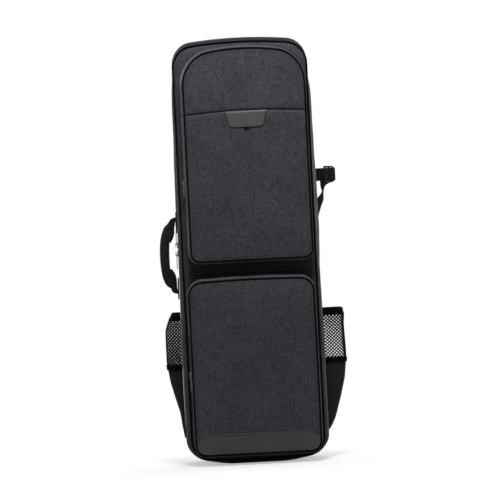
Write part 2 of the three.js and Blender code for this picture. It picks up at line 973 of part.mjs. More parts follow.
// The left wall leans in towards the top, and what slides on it follows that lean
const wallLean = Math.atan((bag.halfWidth - bag.shoulderHalfWidth) / (wallToZ - narrowFromZ));

function addSlider(name, seat) {
  const body = add(`${name}_slider`, sliderBody(seat.outerX, seat.innerX), finish.metal);
  body.position.copy(seat.at);
  body.rotation.set(0, seat.lean, Math.PI);
  const out = seat.outerX + slider.plate + slider.bailClear / 2;
  const tab = add(`${name}_pull`, pullTab(), finish.metal);
  tab.position.copy(new THREE.Vector3(out, 0, 0).applyEuler(body.rotation).add(seat.at));
  if (seat.turnedUp) tab.rotation.set(Math.PI, -seat.lean, Math.PI);
  else tab.rotation.set(0, seat.lean, Math.PI);
}

function addMainSlider(name, z, turnedUp) {
  addSlider(name, {
    at: new THREE.Vector3(-bagHalfWidth(z), zip.y, z),
    outerX: gap - zip.beadSunk,
    innerX: -zip.rebate,
    lean: wallLean,
    turnedUp,
  });
}

function addPocketSlider(name, pocket) {
  const { zipY, outAt, backY, faceY } = pocketPlan(pocket);
  const z = pocket.hingeZ - pocketSliderBelowHinge;
  const left = pocket.centreX - pocket.halfWidth;
  const slope = pocket.flare / (backY - faceY);
  addSlider(name, {
    at: new THREE.Vector3(left - outAt(zipY), zipY, z),
    outerX: gap + slope * slider.wide / 2,
    innerX: -pocket.wall - pocketZip.tapeThick - 2 * gap - slope * slider.innerWide / 2,
    lean: 0,
    turnedUp: false,
  });
}

const slidersMeetZ = heightOf(mainSliders.middleShare);
addMainSlider('main_upper', slidersMeetZ + mainSliders.apart / 2, true);
addMainSlider('main_lower', slidersMeetZ - mainSliders.apart / 2, false);
addPocketSlider('upper_pocket', upperPocket);
addPocketSlider('lower_pocket', lowerPocket);

// Carrying handle on the left wall: a padded arc between two sewn patches

const handleFromZ = heightOf(handle.middleShare) - handle.long / 2;
const handleToZ = handleFromZ + handle.long;

function handleSpot(z, out) {
  return new THREE.Vector3(-bagHalfWidth(z) - out, handle.y, z);
}

function handleGrip() {
  const rise = handle.reach - handle.thick / 2 - handle.axisOut;
  const steps = 14;
  const stopAt = (z, rises, fullness) => ({
    at: handleSpot(z, handle.axisOut + rise * rises),
    side: new THREE.Vector3(0, 1, 0),
    width: THREE.MathUtils.lerp(handle.endWide, handle.wide, fullness),
    thick: THREE.MathUtils.lerp(handle.endThick, handle.thick, fullness),
  });
  const stops = [stopAt(handleFromZ, 0, 0)];
  for (let i = 0; i <= steps; i += 1) {
    const angle = (Math.PI * i) / steps;
    const share = (1 - Math.cos(angle)) / 2;
    const z = THREE.MathUtils.lerp(handleFromZ + handle.stub, handleToZ - handle.stub, share);
    stops.push(stopAt(z, Math.pow(Math.sin(angle), handle.roundness), Math.sin(angle)));
  }
  stops.push(stopAt(handleToZ, 0, 0));
  return ribbon(stops, handle.edgeShare);
}

// The sewn ear that a handle's end turns on, seen from the side: it slopes round to the patch
function handleEar(way) {
  const from = handle.clearance;
  const foot = handle.patchThick;
  const rise = handle.axisOut + handle.endThick / 2 - foot;
  const steps = 4;
  const shape = new THREE.Shape();
  shape.moveTo(foot / 2, way * from);
  for (let i = 0; i <= steps; i += 1) {
    const angle = (Math.PI * i) / (2 * steps);
    shape.lineTo(foot + rise * Math.cos(angle), way * (from + handle.tabLong * Math.sin(angle)));
  }
  shape.lineTo(foot / 2, way * (from + handle.tabLong));
  return plateAt(shape, handle.endWide / 2, handle.endWide, 0);
}

function addHandlePatch(name, z, way) {
  const geometry = joined(
    block(
      0, handle.patchThick, -handle.patchWide / 2, handle.patchWide / 2,
      -handle.patchTall / 2, handle.patchTall / 2,
    ),
    handleEar(way),
  );
  const patch = add(name, geometry, finish.trim);
  patch.position.copy(handleSpot(z, gap));
  patch.rotation.set(0, wallLean, Math.PI);
}

add('handle_grip', handleGrip(), finish.gusset);
addHandlePatch('handle_anchor_lower', handleFromZ, -1);
addHandlePatch('handle_anchor_upper', handleToZ, 1);

// Bottle pockets on the side walls

function bottleFullness(z, mouthShare) {
  const share = (z - bottle.bottomZ) / (bottle.topZ - bottle.bottomZ);
  const stops = [...bottleFullnessShares, [1, mouthShare]];
  const next = Math.max(1, stops.findIndex(([at]) => at >= share));
  const [fromAt, from] = stops[next - 1];
  const [toAt, to] = stops[next];
  return THREE.MathUtils.lerp(from, to, (share - fromAt) / (toAt - fromAt));
}

// Half a pocket's plan, from the wall out and round the corner to the middle of its side
function bottlePlan(reach, inset) {
  const frontY = bottle.frontY + inset;
  const radius = Math.min(bottle.cornerRadius, reach) * bottle.cornerShare;
  const points = [[0, frontY]];
  for (let i = 0; i <= 3; i += 1) {
    const angle = (Math.PI / 2) * (i / 3);
    points.push([
      reach - radius + radius * Math.sin(angle), frontY + radius - radius * Math.cos(angle),
    ]);
  }
  return points;
}

function bottleRing(z, side, fullReach, mouthShare, wall) {
  const reach = fullReach * bottleFullness(z, mouthShare);
  const innerReach = Math.max(reach - wall, gap);
  const middle = (bottle.frontY + bottle.rearY) / 2;
  const outerHalf = bottlePlan(reach, 0);
  const innerHalf = bottlePlan(innerReach, wall);
  const mirrored = (half) => half.map(([x, y]) => [x, 2 * middle - y]).reverse();
  const path = [...outerHalf, ...mirrored(outerHalf), ...[...innerHalf, ...mirrored(innerHalf)].reverse()];
  const wallX = bagHalfWidth(z) + gap;
  return path.map(([x, y]) => new THREE.Vector3(side * (wallX + x), y, z));
}

function bottleBand(levels, side, fullReach, mouthShare, wall) {
  const rings = levels.map((z) => bottleRing(z, side, fullReach, mouthShare, wall));
  const drawnFlat = (ring) => ring.map((p) => new THREE.Vector2(p.x, p.y));
  return loft(rings, [drawnFlat(rings[0]), drawnFlat(rings[rings.length - 1])]);
}

function levelsBetween(from, to, steps) {
  return Array.from({ length: steps + 1 }, (_, i) => from + ((to - from) * i) / steps);
}

function addBottlePocket(name, side, reach, mouthShare) {
  const panel = levelsBetween(bottle.bottomZ, bottle.meshZ - gap, 8);
  const net = levelsBetween(bottle.meshZ, bottle.bindingZ - gap, 4);
  const binding = levelsBetween(bottle.bindingZ, bottle.topZ, 1);
  add(`${name}_panel`, bottleBand(panel, side, reach, mouthShare, bottle.wall), finish.gusset);
  add(`${name}_net`, bottleBand(net, side, reach, mouthShare, bottle.wall), finish.mesh);
  add(`${name}_binding`, bottleBand(binding, side, reach, mouthShare, bottle.bindingWall), finish.trim);
}

addBottlePocket('left_bottle', -1, bottle.leftReach, bottle.leftMouthShare);
addBottlePocket('right_bottle', 1, bottle.rightReach, bottle.rightMouthShare);

// Back: two pads, the yoke that the shoulder straps start from, and the straps

const backY = bag.rearY + gap;

function backPlate(x0, x1, z0, z1, radius, thick, bevel) {
  return plateAt(roundedShape(x0, x1, z0, z1, radius), backY + thick, thick, bevel);
}

function addBackPad(name, fromShare, toShare) {
  add(
    name,
    backPlate(
      -backPad.halfWidth, backPad.halfWidth, heightOf(fromShare), heightOf(toShare),
      backPad.cornerRadius, backPad.thick, backPad.bevel,
    ),
    finish.gusset,
  );
}

addBackPad('lower_back_pad', backPad.lowerFromShare, backPad.lowerToShare);
addBackPad('upper_back_pad', backPad.upperFromShare, backPad.upperToShare);
add(
  'strap_yoke',
  backPlate(
    -strap.yokeHalfWidth, strap.yokeHalfWidth,
    heightOf(strap.yokeFromShare), heightOf(strap.yokeToShare),
    strap.cornerRadius, strap.yokeThick, 0,
  ),
  finish.trim,
);

// Shoulder straps: a curved pad sewn under the yoke, a ladder lock, and webbing to the foot

const padLayerY = backY + backPad.thick + gap + strap.padThick / 2;
const yokeLayerY = backY + strap.yokeThick + gap + strap.padThick / 2;

// Stops along a smooth route through points given in shares of the bag's size
function strapRoute(points, widthAt, thick, steps) {
  const curve = new THREE.CatmullRomCurve3(points.map((p) => p.at));
  const stops = [];
  for (let i = 0; i <= steps; i += 1) {
    const t = i / steps;
    const spot = t * (points.length - 1);
    const from = Math.min(Math.floor(spot), points.length - 2);
    const side = points[from].side.clone().lerp(points[from + 1].side, spot - from).normalize();
    stops.push({ at: curve.getPoint(t), side, width: widthAt(t), thick });
  }
  return stops;
}

function backPoint([xShare, zShare], y) {
  return new THREE.Vector3(xShare * bag.halfWidth, y, zShare * bag.height);
}

function addStrapPad(name, routeShares) {
  const across = new THREE.Vector3(1, 0, 0);
  const layers = routeShares.map((_, i) => (i === 0 ? yokeLayerY : padLayerY));
  const spots = routeShares.map((share, i) => backPoint(share, layers[i]));
  const points = spots.map((at, i) => {
    const along = spots[Math.min(i + 1, spots.length - 1)].clone().sub(spots[Math.max(i - 1, 0)]);
    const side = new THREE.Vector3().crossVectors(along, new THREE.Vector3(0, 1, 0)).normalize();
    return { at, side: side.dot(across) === 0 ? across : side };
  });
  const widthAt = (t) => THREE.MathUtils.lerp(strap.padWide, strap.padEndWide, t * t * t);
  add(name, ribbon(strapRoute(points, widthAt, strap.padThick, 14), strap.edgeShare), finish.gusset);
}

function ladderLock() {
  const outer = (wide, tip) => {
    const shape = new THREE.Shape();
    shape.moveTo(-wide / 2, -lock.long / 2);
    shape.lineTo(wide / 2, -lock.long / 2);
    shape.lineTo(wide / 2, lock.long / 5);
    shape.lineTo(tip / 2, lock.long / 2);
    shape.lineTo(-tip / 2, lock.long / 2);
    shape.lineTo(-wide / 2, lock.long / 5);
    return shape;
  };
  const frame = outer(lock.wide, lock.wide * lock.tipShare);
  const half = lock.wide / 2 - lock.rail;
  const slot = (from, to) => {
    const path = new THREE.Path();
    path.moveTo(-half, from);
    path.lineTo(half, from);
    path.lineTo(half, to);
    path.lineTo(-half, to);
    return path;
  };
  const low = lock.bar - lock.long / 2;
  const middle = -lock.bar / 2;
  frame.holes.push(slot(low, middle), slot(middle + lock.bar, lock.long / 2 - lock.bar));
  return plateAt(frame, lock.thick / 2, lock.thick, 0);
}

// A folded end of webbing round a bar: it comes in behind the lock and turns back in front
function foldRound(frame, barAlong, cameFrom, tail) {
  const radius = Math.hypot(lock.bar, lock.thick) / 2 + gap + strap.webThick / 2;
  const spot = (along, out) => frame.at.clone()
    .addScaledVector(frame.along, along).addScaledVector(frame.out, out);
  const stops = [spot(barAlong + cameFrom * tail, -radius)];
  for (let i = 0; i <= 6; i += 1) {
    const angle = (Math.PI * i) / 6;
    stops.push(spot(barAlong - cameFrom * radius * Math.sin(angle), -radius * Math.cos(angle)));
  }
  stops.push(spot(barAlong + cameFrom * tail, radius));
  return stops;
}

// Where the webbing comes out of a pad's lower end
function padTip(shares) {
  const [before, last] = shares.slice(-2).map((share) => backPoint(share, padLayerY));
  const along = last.clone().sub(before).normalize();
  const side = new THREE.Vector3().crossVectors(along, rearwards).normalize();
  return [strap.webThick, strap.webWide / 3].map((out) => ({ at: last.clone().addScaledVector(along, out), side }));
}

function addStrap(name, plan) {
  addStrapPad(`${name}_strap_pad`, plan.padShares);
  const frame = plan.lock;
  const body = add(`${name}_ladder_lock`, ladderLock(), finish.plastic);
  body.quaternion.setFromRotationMatrix(
    new THREE.Matrix4().makeBasis(frame.side, frame.out, frame.along),
  );
  body.position.copy(frame.at);
  const webStops = (points) => points.map(({ at, side }) => (
    { at, side, width: strap.webWide, thick: strap.webThick }
  ));
  const folded = (barAlong, cameFrom, tailLong) => (
    foldRound(frame, barAlong, cameFrom, tailLong).map((at) => ({ at, side: frame.side }))
  );
  const nearBar = (lock.bar - lock.long) / 2;
  const shortWeb = [...padTip(plan.padShares), ...folded(nearBar, -1, lock.long * lock.foldShare)];
  add(`${name}_strap_short_web`, ribbon(webStops(shortWeb), 0), finish.tape);
  const tail = [...folded(0, 1, lock.long / 2).reverse(), ...plan.tail];
  add(`${name}_strap_webbing`, ribbon(webStops(tail), 0), finish.tape);
}

const up = new THREE.Vector3(0, 0, 1);
const rearwards = new THREE.Vector3(0, 1, 0);

const anchorX = backPad.halfWidth + gap + strap.anchorWide / 2;
const anchorZ = heightOf(strap.anchorShare);

function anchorTail(side) {
  const top = anchorZ + strap.anchorTall / 2;
  const y = backY + strap.anchorThick + gap + strap.webThick / 2;
  const x = side * anchorX;
  const lift = strap.webThick;
  return [
    { at: new THREE.Vector3(x, y + lift, top + strap.webWide / 2), side: new THREE.Vector3(1, 0, 0) },
    { at: new THREE.Vector3(x, y, top), side: new THREE.Vector3(1, 0, 0) },
    { at: new THREE.Vector3(x, y, anchorZ), side: new THREE.Vector3(1, 0, 0) },
  ];
}

// The right strap's lock stands out past the side wall, and its tail turns edge on behind it
function rightStrapPlan() {
  const angle = THREE.MathUtils.degToRad(rightLockTurn);
  const along = new THREE.Vector3(Math.cos(angle), Math.sin(angle), 0);
  const frame = {
    at: backPoint(rightLockShares, padLayerY + lock.long / 3),
    along,
    side: up,
    out: new THREE.Vector3().crossVectors(along, up),
  };
  const turned = tailTurnShares.map(([forward, out, rise, lean]) => ({
    at: frame.at.clone()
      .addScaledVector(along, forward * lock.long)
      .addScaledVector(frame.out, out * lock.long)
      .addScaledVector(up, rise * lock.long),
    side: up.clone().lerp(rearwards, lean).normalize(),
  }));
  const route = tailShares.map(([across, rise, out], i) => ({
    at: backPoint([across, rise], padLayerY + out * lock.long),
    side: rearwards.clone().lerp(new THREE.Vector3(1, 0, 0), (i + 1) / tailShares.length).normalize(),
  }));
  return { padShares: rightPadShares, lock: frame, tail: [...turned, ...route, ...anchorTail(1)] };
}

function leftStrapPlan() {
  const lockAt = backPoint(leftLockShares, padLayerY);
  const padEnd = backPoint(leftPadShares[leftPadShares.length - 1], padLayerY);
  const along = lockAt.clone().sub(padEnd).normalize();
  const frame = {
    at: lockAt,
    along,
    side: new THREE.Vector3().crossVectors(rearwards, along),
    out: rearwards,
  };
  return { padShares: leftPadShares, lock: frame, tail: anchorTail(-1) };
}

addStrap('right', rightStrapPlan());
addStrap('left', leftStrapPlan());

function addAnchor(name, side) {
  const x = side * anchorX;
  const plate = backPlate(
    x - strap.anchorWide / 2, x + strap.anchorWide / 2,
    anchorZ - strap.anchorTall / 2, anchorZ + strap.anchorTall / 2,
    strap.cornerRadius, strap.anchorThick, 0,
  );
  add(name, plate, finish.trim);
}

// Inside: three fitted foam blocks that the instrument lies in, and the strap that holds it

const bowZ = heightOf(cradle.bowShare);
const neckFromZ = heightOf(cradle.neckFromShare);
const neckTopZ = heightOf(cradle.neckTopShare);

function cradleFill(fromZ, toZ) {
  const inside = bag.wall + lining.clearance + lining.thick + lining.clearance;
  const at = (y) => insideStep(bag.rearY, bag.rearTaperFromY, inside, y);
  const fill = caseTray(rearFace, [
    at(bag.rearY - inside), at(bag.rearTaperFromY), at(cradle.frontY),
  ]);
  return kept(fill, band(fromZ, toZ));
}

function roundBore(profile, x, y) {
  const points = [
    new THREE.Vector2(0, profile[0][1]),
    ...profile.map(([radius, z]) => new THREE.Vector2(radius, z)),
    new THREE.Vector2(0, profile[profile.length - 1][1]),
  ];
  return new THREE.LatheGeometry(points, 16).rotateX(Math.PI / 2).translate(x, y, 0);
}

function bellBore() {
  const from = bowZ;
  const rise = heightOf(cradle.bellRimShare) - from;
  const flare = cradle.bellTopRadius - cradle.bellThroatRadius;
  const steps = 5;
  const profile = [];
  for (let i = 0; i <= steps; i += 1) {
    const share = i / steps;
    profile.push([cradle.bellThroatRadius + flare * share * share, from + rise * share]);
  }
  return roundBore(profile, cradle.bellX, cradle.frontY);
}

function tubeBore() {
  return roundBore([
    [cradle.tubeLowRadius, bowZ],
    [cradle.tubeHighRadius, heightOf(cradle.bodyTopShare) + overrun],
  ], cradle.tubeX, cradle.frontY);
}

// The bow joins the foot of the body tube to the foot of the bell
function bowBore() {
  const radius = (cradle.tubeLowRadius + cradle.bellThroatRadius) / 2;
  const bow = new THREE.TorusGeometry((cradle.bellX - cradle.tubeX) / 2, radius, 10, 20);
  bow.rotateX(Math.PI / 2);
  return bow.translate((cradle.bellX + cradle.tubeX) / 2, cradle.frontY, bowZ);
}

function addCradles() {
  const low = cradleFill(heightOf(cradle.fromShare), heightOf(cradle.bellTopShare));
  const high = cradleFill(heightOf(cradle.bodyFromShare), heightOf(cradle.bodyTopShare));
  const lower = cut(low, bellBore(), tubeBore(), bowBore());
  const middle = cut(high, bellBore(), tubeBore());
  const slot = block(
    -cradle.neckHalf, cradle.neckHalf, cradle.frontY - overrun, cradle.frontY + cradle.slotDeep,
    neckFromZ + cradle.neckRadius, neckTopZ - 2 * cradle.neckRadius,
  );
  const rest = roundBore([
    [cradle.neckRadius, neckFromZ - overrun],
    [cradle.neckRadius, neckTopZ - 2 * cradle.neckRadius],
  ], cradle.tubeX, cradle.frontY);
  add('bell_cradle', lower, finish.plush);
  add('body_cradle', middle, finish.plush);
  add('neck_cradle', cut(cradleFill(neckFromZ, neckTopZ), slot, rest), finish.plush);
}

function addRetainer() {
  const inside = bag.wall + lining.clearance + lining.thick + gap;
  const retainerZ = heightOf(retainer.heightShare);
  const half = bagHalfWidth(retainerZ) - inside - gap;
  const y = cradle.frontY - gap - retainer.thick / 2;
  const stops = [];
  const steps = 8;
  for (let i = 0; i <= steps; i += 1) {
    const share = (2 * i) / steps - 1;
    stops.push({
      at: new THREE.Vector3(half * share, y - retainer.arch * (1 - share * share), retainerZ),
      side: up,
      width: retainer.wide,
      thick: retainer.thick,
    });
  }
  add('retaining_strap', ribbon(stops, 0), finish.tape);
}

addAnchor('right_strap_anchor', 1);
addAnchor('left_strap_anchor', -1);
addCradles();
addRetainer();

export default saxophoneBag;
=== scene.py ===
"""A soft case for a tenor saxophone, dressed round its packed frame.

Sizes are in metres, in the frame's own axes: X runs to the right, Z up, and the front faces -Y.
Each Operator makes one piece or one group of like pieces, and main() calls them in order.
"""

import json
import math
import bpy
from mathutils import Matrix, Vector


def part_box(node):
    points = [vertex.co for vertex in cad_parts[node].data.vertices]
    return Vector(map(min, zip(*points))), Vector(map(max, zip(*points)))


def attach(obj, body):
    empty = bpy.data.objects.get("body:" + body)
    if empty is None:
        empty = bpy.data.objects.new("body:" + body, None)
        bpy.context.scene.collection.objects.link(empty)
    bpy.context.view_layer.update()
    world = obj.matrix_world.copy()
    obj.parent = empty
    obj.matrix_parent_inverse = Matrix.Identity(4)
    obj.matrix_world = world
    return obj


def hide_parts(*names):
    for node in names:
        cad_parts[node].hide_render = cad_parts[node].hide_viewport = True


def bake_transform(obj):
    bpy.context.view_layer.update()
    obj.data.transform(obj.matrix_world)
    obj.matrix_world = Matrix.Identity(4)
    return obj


bl_info = {
    "name": "Saxophone bag",
    "version": (1, 0, 0),
    "blender": (4, 5, 0),
    "location": "View3D > Sidebar > Bag",
    "description": "Makes the canvas, zips, straps and stage of a soft saxophone case",
    "category": "Object",
}

import bmesh
import bpy
import numpy as np
from bpy.props import FloatProperty, FloatVectorProperty, IntProperty, PointerProperty
from bpy.types import Operator, Panel, PropertyGroup
from mathutils import Matrix, Vector, noise

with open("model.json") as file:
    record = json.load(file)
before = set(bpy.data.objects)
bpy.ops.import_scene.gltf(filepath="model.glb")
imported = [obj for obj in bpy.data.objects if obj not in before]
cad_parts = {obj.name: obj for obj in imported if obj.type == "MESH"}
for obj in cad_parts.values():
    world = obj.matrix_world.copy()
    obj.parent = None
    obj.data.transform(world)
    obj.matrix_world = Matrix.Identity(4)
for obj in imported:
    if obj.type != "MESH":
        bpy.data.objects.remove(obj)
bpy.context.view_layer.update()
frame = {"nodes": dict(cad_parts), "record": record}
MM = 0.001
# The gap left between layers, how deep piping sinks into its seam, and how far off a seam its
# stitches run
GAP, SUNK, BESIDE = 0.0003, 0.0004, 0.0022

# Sizes and colours that a user would change


def rows_as(kind, scale=None, **settings):
    """What turns rows, each of a default and what it is, into properties of one kind."""
    def made(**rows):
        return {
            key: kind(
                name=key.replace("_", " ").capitalize(), description=text,
                default=value * scale if scale else value, **settings,
            )
            for key, (value, text) in rows.items()
        }
    return made


# Rows give lengths in millimetres, angles in degrees and linear colours
lengths = rows_as(FloatProperty, MM, unit="LENGTH", precision=4)
angles = rows_as(FloatProperty, math.radians(1), subtype="ANGLE")
shares = rows_as(FloatProperty)
colours = rows_as(FloatVectorProperty, subtype="COLOR", size=3, min=0, max=1)


class CaseSizes(PropertyGroup):
    """The two halves of the padded case"""

    __annotations__ = lengths(
        half_width=(138, "Half the width of the case at its middle"),
        shoulder_half_width=(130, "Half the width below the top corners"),
        height=(820, "Height of the case"),
        corner_radius=(38, "Radius of the case's corners"),
        crown=(10, "How far the top rises in the middle"),
        base_sag=(11.5, "How far the base drops in the middle"),
        base_flat=(45, "Half the flat width that the case stands on"),
        front=(-88, "Depth of the front face"),
        rear=(88, "Depth of the rear face"),
        front_taper=(-52, "Depth from which the wall runs in to the front"),
        rear_taper=(60, "Depth from which the wall runs in to the rear"),
        wall=(9, "Thickness of the padded wall"),
        zip_depth=(-30, "Depth of the zip round the case"),
        zip_gap=(3.4, "Half the gap between the two halves"),
        tape_width=(11, "Width of one zip tape"),
        rebate=(2, "How far the zip tape lies below the wall"),
        seat=(3, "Width of the bevel that the piping is sewn into"),
        piping=(1.9, "Radius of the piping"),
        roll=(2.6, "How far the lid's front rolls back towards its piping"),
        roll_wide=(10, "Width of the roll along the lid's piping"),
        wrinkle=(1.5, "Depth of the soft dents in the walls"),
        right_bulge=(7, "How far the right wall bulges behind the lid"),
        left_bulge=(2.5, "How far the left wall bulges behind the lid"),
    )


POCKET = {
    "centre_x": (0, "Middle of the pocket's front"),
    "half_width": (120, "Half the pocket's width"),
    "bottom": (20, "Height of its lower edge"),
    "top": (354.5, "Height of its upper edge"),
    "crown": (3, "How far the upper edge rises in the middle"),
    "low_radius": (19, "Radius of the lower corners"),
    "high_radius": (24.5, "Radius of the upper corners"),
    "depth": (42, "How far it stands out from the lid"),
    "flare": (1.5, "How much wider it is at its back"),
    "lean": (0, "How far its back lies to the left of its front"),
    "head_flare": (7, "How far its upper gusset rises towards the back"),
    "hinge": (184, "Height of the line that its flap folds on"),
    "bend": (11, "Half the height over which the canvas folds"),
    "zip_from": (162, "Height at which its zip ends"),
    "zip_gap": (2.8, "Half the gap that the zip lies in"),
    "tape_width": (8, "Width of one zip tape"),
    "wall": (3, "Thickness of the pocket's canvas and padding"),
    "seat": (2.6, "Width of the bevel that the piping is sewn into"),
    "piping": (1.8, "Radius of the piping"),
    "seam": (900, "Height of a seam across its front, above the pocket for none"),
    "puff": (7, "How far the front swells"),
    "low_turn": (24, "Height over which its foot turns under"),
    "high_turn": (18, "Height over which its head turns back"),
}


def changed(rows, **values):
    """The same rows with other defaults."""
    return {key: (values.get(key, value), text) for key, (value, text) in rows.items()}


class UpperPocketSizes(PropertyGroup):
    """The arched upper pocket on the lid"""

    __annotations__ = lengths(
        **changed(
            POCKET, centre_x=5.2, half_width=116.5, bottom=390.5, top=796, crown=17, low_radius=17,
            high_radius=50, depth=38, flare=3, lean=3.2, head_flare=4, hinge=552, zip_from=530,
            seam=676, puff=8, low_turn=60, high_turn=42,
        ),
        seam_drop=(5.2, "How much lower the seam's ends are than its middle"),
        pleat_top=(645, "Height where the pleat under the badge starts"),
        pleat_wide=(8, "Width of the pleat"),
    )


class LowerPocketSizes(PropertyGroup):
    """The lower pocket on the lid"""

    __annotations__ = lengths(**POCKET)


class SewingSizes(PropertyGroup):
    """Stitches and zip teeth"""

    __annotations__ = lengths(
        stitch=(2.7, "Length of a stitch"),
        stitch_pitch=(3.7, "Distance from stitch to stitch"),
        thread=(0.42, "Half the thickness of the thread"),
        tooth=(1.7, "Length of a zip tooth across the zip"),
        tooth_pitch=(2.3, "Distance from tooth to tooth"),
        tooth_thick=(0.85, "Half the thickness of a tooth"),
    )


class TrimSizes(PropertyGroup):
    """Badge and bumper patch"""

    __annotations__ = lengths(
        badge_off=(1.0, "From the upper pocket's middle to the badge's"),
        badge_top=(39, "Half the badge's width at its top"),
        badge_foot=(32, "Half the badge's width at its foot"),
        badge_tall=(31, "Height of the badge"),
        badge_corner=(6, "How far the badge's lower corners pull in"),
        bumper_top=(62, "Height of the bumper patch's upper edge"),
        bumper_shoulder=(48, "Height where its slanted corners start"),
        bumper_top_half=(97, "Half the length of its upper edge"),
    )


class BottleSizes(PropertyGroup):
    """Bottle pockets"""

    __annotations__ = lengths(
        front=(-14, "Depth of the pockets' front edge"),
        rear=(72, "Depth of their rear edge"),
        bottom=(52, "Height of their foot"),
        net=(192, "Height where the net starts"),
        band=(280, "Height where the elastic binding starts"),
        top=(294, "Height of the mouth"),
        corner=(14, "Radius of the corners in plan"),
        left_reach=(31, "How far the left pocket stands out"),
        right_reach=(42, "How far the right pocket stands out"),
        right_drop=(4.6, "How much lower the right mouth is than the left one"),
        mesh=(6.6, "Distance from knot to knot of the net"),
        strand=(1.0, "Radius of a strand of the net"),
    )
    __annotations__ |= shares(
        left_mouth=(0.52, "Share of its reach that the left mouth keeps"),
        right_mouth=(0.96, "Share of its reach that the right mouth keeps"),
    )


class BackSizes(PropertyGroup):
    """Back pads and patches"""

    __annotations__ = lengths(
        pad_radius=(24, "Radius of the back pads' corners"),
        patch_radius=(6, "Radius of the sewn patches' corners"),
        ear=(10, "Length of the ears that the handle's ends turn on"),
        ear_wide=(12, "Width of the ears at the handle"),
    )
    __annotations__["channels"] = IntProperty(
        name="Channels", description="Sewn channels across each back pad", default=3)


class ClothColours(PropertyGroup):
    """Colours of the cloth, leather, metal and plastic"""

    __annotations__ = colours(
        heather=((0.0365, 0.0355, 0.0415), "Canvas of the pockets' fronts"),
        canvas=((0.015, 0.015, 0.0165), "Plain canvas of the walls"),
        trim=((0.0035, 0.0035, 0.0039), "Piping and bindings"),
        webbing=((0.011, 0.011, 0.0125), "Webbing and zip tape"),
        leather=((0.034, 0.034, 0.039), "Patch along the foot of the lower pocket"),
        badge=((0.045, 0.0455, 0.048), "Bare badge under the yoke"),
        net=((0.011, 0.011, 0.0125), "Net of the bottle pockets"),
        plush=((0.03, 0.03, 0.036), "Lining"),
        thread=((0.02, 0.02, 0.023), "Sewing thread"),
        nickel=((0.09, 0.09, 0.093), "Sliders and pulls"),
        plastic=((0.012, 0.012, 0.013), "Strap locks and zip teeth"),
    )


class StageSizes(PropertyGroup):
    """Camera and light"""

    __annotations__ = lengths(
        distance=(8000, "Camera's distance from the middle of the bag"),
        frame_height=(958, "Height of the picture where the bag stands"),
        look_x=(1.9, "Sideways place that the camera looks at"),
        look_z=(409.6, "Height that the camera looks at"),
    ) | angles(
        azimuth=(-1.2, "Camera's turn to the right"),
        elevation=(0.4, "Camera's height angle"),
        roll=(2.9, "Lean of the bag in the picture"),
    ) | shares(room_light=(0.1, "Strength of the light all round"))


# Materials


def add_node(tree, kind, inputs=(), **settings):
    """A node with its settings, and with values or other nodes' sockets on its inputs."""
    made = tree.nodes.new(kind)
    for key, value in settings.items():
        setattr(made, key, value)
    for key, value in dict(inputs).items():
        if isinstance(value, bpy.types.NodeSocket):
            tree.links.new(value, made.inputs[key])
        else:
            made.inputs[key].default_value = value
    return made


